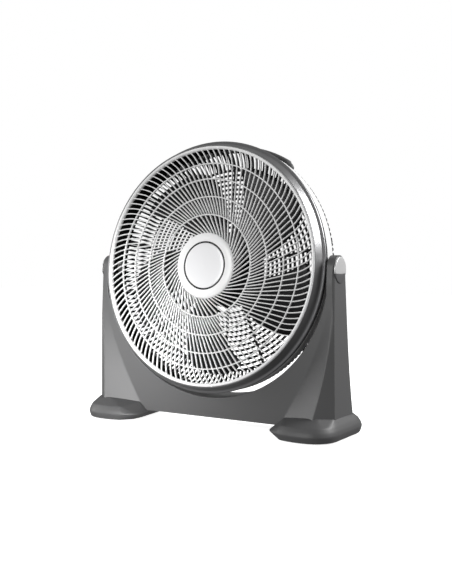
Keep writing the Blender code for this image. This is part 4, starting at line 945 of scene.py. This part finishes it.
def make_foot(label, side):
    """A foot as one pebble-like form: a hull through its outlines, evened out and softened."""
    shape = bmesh.new()
    edge = [(p.x, p.y) for p in curve_through(FOOT_RIM, 4)]
    outer = [(x, y) for x, y in edge if x > FOOT_EDGE_FROM]
    points = [(x, y, FOOT_RIM_HEIGHT) for x, y in edge] + [(x, y, FOOT_LIFT) for x, y in FOOT_SOLE]
    for scale, height in FOOT_EDGE:
        points += [(x * scale, y * scale, height) for x, y in outer]
    points += FOOT_CROWN
    for x, y, z in points:
        shape.verts.new((side * (FOOT_CENTRE_X + x), y + PIVOT.y, z))
    bmesh.ops.convex_hull(shape, input=shape.verts)
    loose = [v for v in shape.verts if not v.link_faces]
    bmesh.ops.delete(shape, geom=loose, context="VERTS")
    bmesh.ops.recalc_face_normals(shape, faces=shape.faces)
    mesh = bpy.data.meshes.new("foot_form")
    shape.to_mesh(mesh)
    shape.free()
    form = bpy.data.objects.new("foot_form", mesh)
    bpy.context.scene.collection.objects.link(form)
    voxel = form.modifiers.new("even", "REMESH")
    voxel.mode = "VOXEL"
    voxel.voxel_size = FOOT_VOXEL
    soften = form.modifiers.new("soften", "SMOOTH")
    soften.factor = 0.5
    soften.iterations = 10
    graph = bpy.context.evaluated_depsgraph_get()
    even = bpy.data.meshes.new_from_object(form.evaluated_get(graph))
    bpy.data.objects.remove(form)
    verts = [v.co.copy() for v in even.vertices]
    faces = [tuple(p.vertices) for p in even.polygons]
    return add_mesh(f"foot_moulding_{label}", verts, faces, "stand", "stand_grey", FOOT, [f"foot_{label}"])


for label, side in SIDES:
    make_foot(label, side)

# ---------------------------------------------------------------- pivot caps

CAP_RADIUS = 0.0262
CAP_SPLIT = -0.0070
CAP_CENTRE_Z = PIVOT.z - 0.0030
CAP_GAP = 0.0004
CAP_LINE_SAG = 0.0016
CAP_RINGS = ((1.0, 0.0), (1.0, 0.62), (0.985, 0.82), (0.95, 0.94), (0.88, 1.0), (0.6, 1.04), (0.3, 1.06))


def cap_half(name, side, upper, slot, material, node):
    """Part of the round cap on the arm above or below its split line, gently domed."""
    low_x = ARM_OUTER_X - 0.0004
    proud = 0.0030 if upper else 0.0024
    verts, faces, rows = [], [], []
    arc_steps, line_steps = 64, 24
    radius = CAP_RADIUS
    split = CAP_SPLIT + (CAP_GAP / 2 if upper else -CAP_GAP / 2)
    end = sqrt(radius ** 2 - split ** 2)
    first, last = atan2(split, end), pi - atan2(split, end)
    if not upper:
        first, last = pi - atan2(split, end), 2 * pi + atan2(split, end)
    outline = []
    for k in range(arc_steps + 1):
        angle = first + (last - first) * k / arc_steps
        outline.append((radius * cos(angle), radius * sin(angle)))
    u_from, u_to = outline[-1][0], outline[0][0]
    for k in range(1, line_steps):
        u = u_from + (u_to - u_from) * k / line_steps
        outline.append((u, split - CAP_LINE_SAG * (1 - (u / radius) ** 2)))
    middle = (0.0, 0.006 if upper else -0.0165)
    for shrink, rise in CAP_RINGS:
        rows.append(len(verts))
        inward = 1.0 - shrink
        for u, v in outline:
            verts.append((side * (low_x + proud * rise), PIVOT.y + u + (middle[0] - u) * inward,
                          CAP_CENTRE_Z + v + (middle[1] - v) * inward))
    size = len(outline)
    for a, b in zip(rows, rows[1:]):
        for k in range(size):
            j = (k + 1) % size
            faces.append((a + k, a + j, b + j, b + k))
    faces.append(tuple(range(size)))
    faces.append(tuple(range(rows[-1], rows[-1] + size))[::-1])
    return sharpen(add_mesh(name, verts, faces, "stand", slot, material, [node]), 50)


for label, side in SIDES:
    cap_half(f"pivot_cap_upper_{label}", side, True, "silver", CAP_SILVER, f"pivot_cap_{label}")
    cap_half(f"pivot_cap_lower_{label}", side, False, "stand_grey", GREY_INSERT, f"pivot_cap_inlay_{label}")

# ---------------------------------------------------------------- materials of the pieces shown as in the CAD

MATERIAL_OF = {
    "bearing": STEEL, "cord_gland": BLACK, "cover_screw": STEEL, "foot_pad": RUBBER,
    "friction_washer": RUBBER, "motor_plate": STEEL, "motor_screw": STEEL, "motor_shaft": STEEL,
    "motor_stator": COPPER, "pivot_bush": BLACK, "pivot_nut": STEEL, "pivot_retainer": STEEL,
    "pivot_stud": STEEL, "rotor_core": STEEL, "run_capacitor": BLACK, "speed_switch": BLACK,
    "trim_screw": STEEL,
}
for name, obj in frame["nodes"].items():
    for start, material in MATERIAL_OF.items():
        if name.startswith(start):
            if not obj.data.materials:
                obj.data.materials.append(material)
            for socket in obj.material_slots:
                socket.material = material

# ---------------------------------------------------------------- floor, light and camera

CAMERA_FROM_PIVOT = Vector((0.9503, -1.5341, 0.0253))
CAMERA_LOOKS = Vector((-0.51537, 0.85588, -0.04313))
LENS = 52.07
FLOOR_HALF_WIDTH = 6.0
FLOOR_GLOW = 0.86
AMBIENT = 0.24

floor_mesh = bpy.data.meshes.new("studio_floor")
reach = FLOOR_HALF_WIDTH
floor_mesh.from_pydata([(-reach, -reach, 0), (reach, -reach, 0), (reach, reach, 0), (-reach, reach, 0)], [],
                       [(0, 1, 2, 3)])
floor = bpy.data.objects.new("studio_floor", floor_mesh)
bpy.context.scene.collection.objects.link(floor)
floor_look = bpy.data.materials.new("floor_white")
floor_look.use_nodes = True
floor_shader = floor_look.node_tree.nodes["Principled BSDF"]
floor_shader.inputs["Base Color"].default_value = (0.90, 0.90, 0.90, 1.0)
floor_shader.inputs["Roughness"].default_value = 0.9
floor_shader.inputs["Specular IOR Level"].default_value = 0.1
floor_shader.inputs["Emission Color"].default_value = (1.0, 1.0, 1.0, 1.0)
floor_shader.inputs["Emission Strength"].default_value = FLOOR_GLOW
floor_mesh.materials.append(floor_look)
floor.visible_diffuse = False
floor.visible_glossy = False


def area_light(name, place, target, size, power):
    """A rectangular soft light of so many watts, turned to the target."""
    data = bpy.data.lights.new(name, "AREA")
    data.shape = "RECTANGLE"
    data.size, data.size_y = size
    data.energy = power
    lamp = bpy.data.objects.new(name, data)
    bpy.context.scene.collection.objects.link(lamp)
    lamp.location = place
    lamp.rotation_euler = (Vector(target) - Vector(place)).to_track_quat("-Z", "Y").to_euler()
    return lamp


area_light("key_left_front", (-2.6, -0.95, 0.75), (0.0, 0.0, 0.30), (1.2, 1.2), 27.0)
area_light("right_rear_upper", (1.9, 1.1, 1.75), (0.0, 0.0, 0.40), (1.2, 1.2), 84.0)
area_light("front_soft", (-0.4, -2.9, 0.9), (0.0, 0.0, 0.25), (1.6, 1.2), 43.0)
spot = area_light("left_leg_fill", (0.55, -1.5, 0.35), (-0.25, -0.05, 0.14), (0.25, 0.25), 0.8)
spot.data.spread = radians(22.0)

# The backdrop is seen as plain white, and lights the object only weakly.
world = bpy.data.worlds.new("studio")
world.use_nodes = True
bpy.context.scene.world = world
sky = world.node_tree.nodes["Background"]
sky.inputs["Color"].default_value = (1.0, 1.0, 1.0, 1.0)
sky.inputs["Strength"].default_value = AMBIENT
seen = world.node_tree.nodes.new("ShaderNodeBackground")
seen.inputs["Color"].default_value = (1.0, 1.0, 1.0, 1.0)
seen.inputs["Strength"].default_value = 1.0
ray = world.node_tree.nodes.new("ShaderNodeLightPath")
choose = world.node_tree.nodes.new("ShaderNodeMixShader")
out = world.node_tree.nodes["World Output"]
world.node_tree.links.new(ray.outputs["Is Camera Ray"], choose.inputs["Fac"])
world.node_tree.links.new(sky.outputs["Background"], choose.inputs[1])
world.node_tree.links.new(seen.outputs["Background"], choose.inputs[2])
world.node_tree.links.new(choose.outputs["Shader"], out.inputs["Surface"])

camera_data = bpy.data.cameras.new("photo_camera")
camera_data.lens = LENS
camera_data.sensor_width = 36.0
camera = bpy.data.objects.new("photo_camera", camera_data)
bpy.context.scene.collection.objects.link(camera)
camera.location = PIVOT + CAMERA_FROM_PIVOT
camera.rotation_euler = CAMERA_LOOKS.to_track_quat("-Z", "Y").to_euler()
bpy.context.scene.camera = camera
bpy.context.scene.view_settings.view_transform = "Standard"
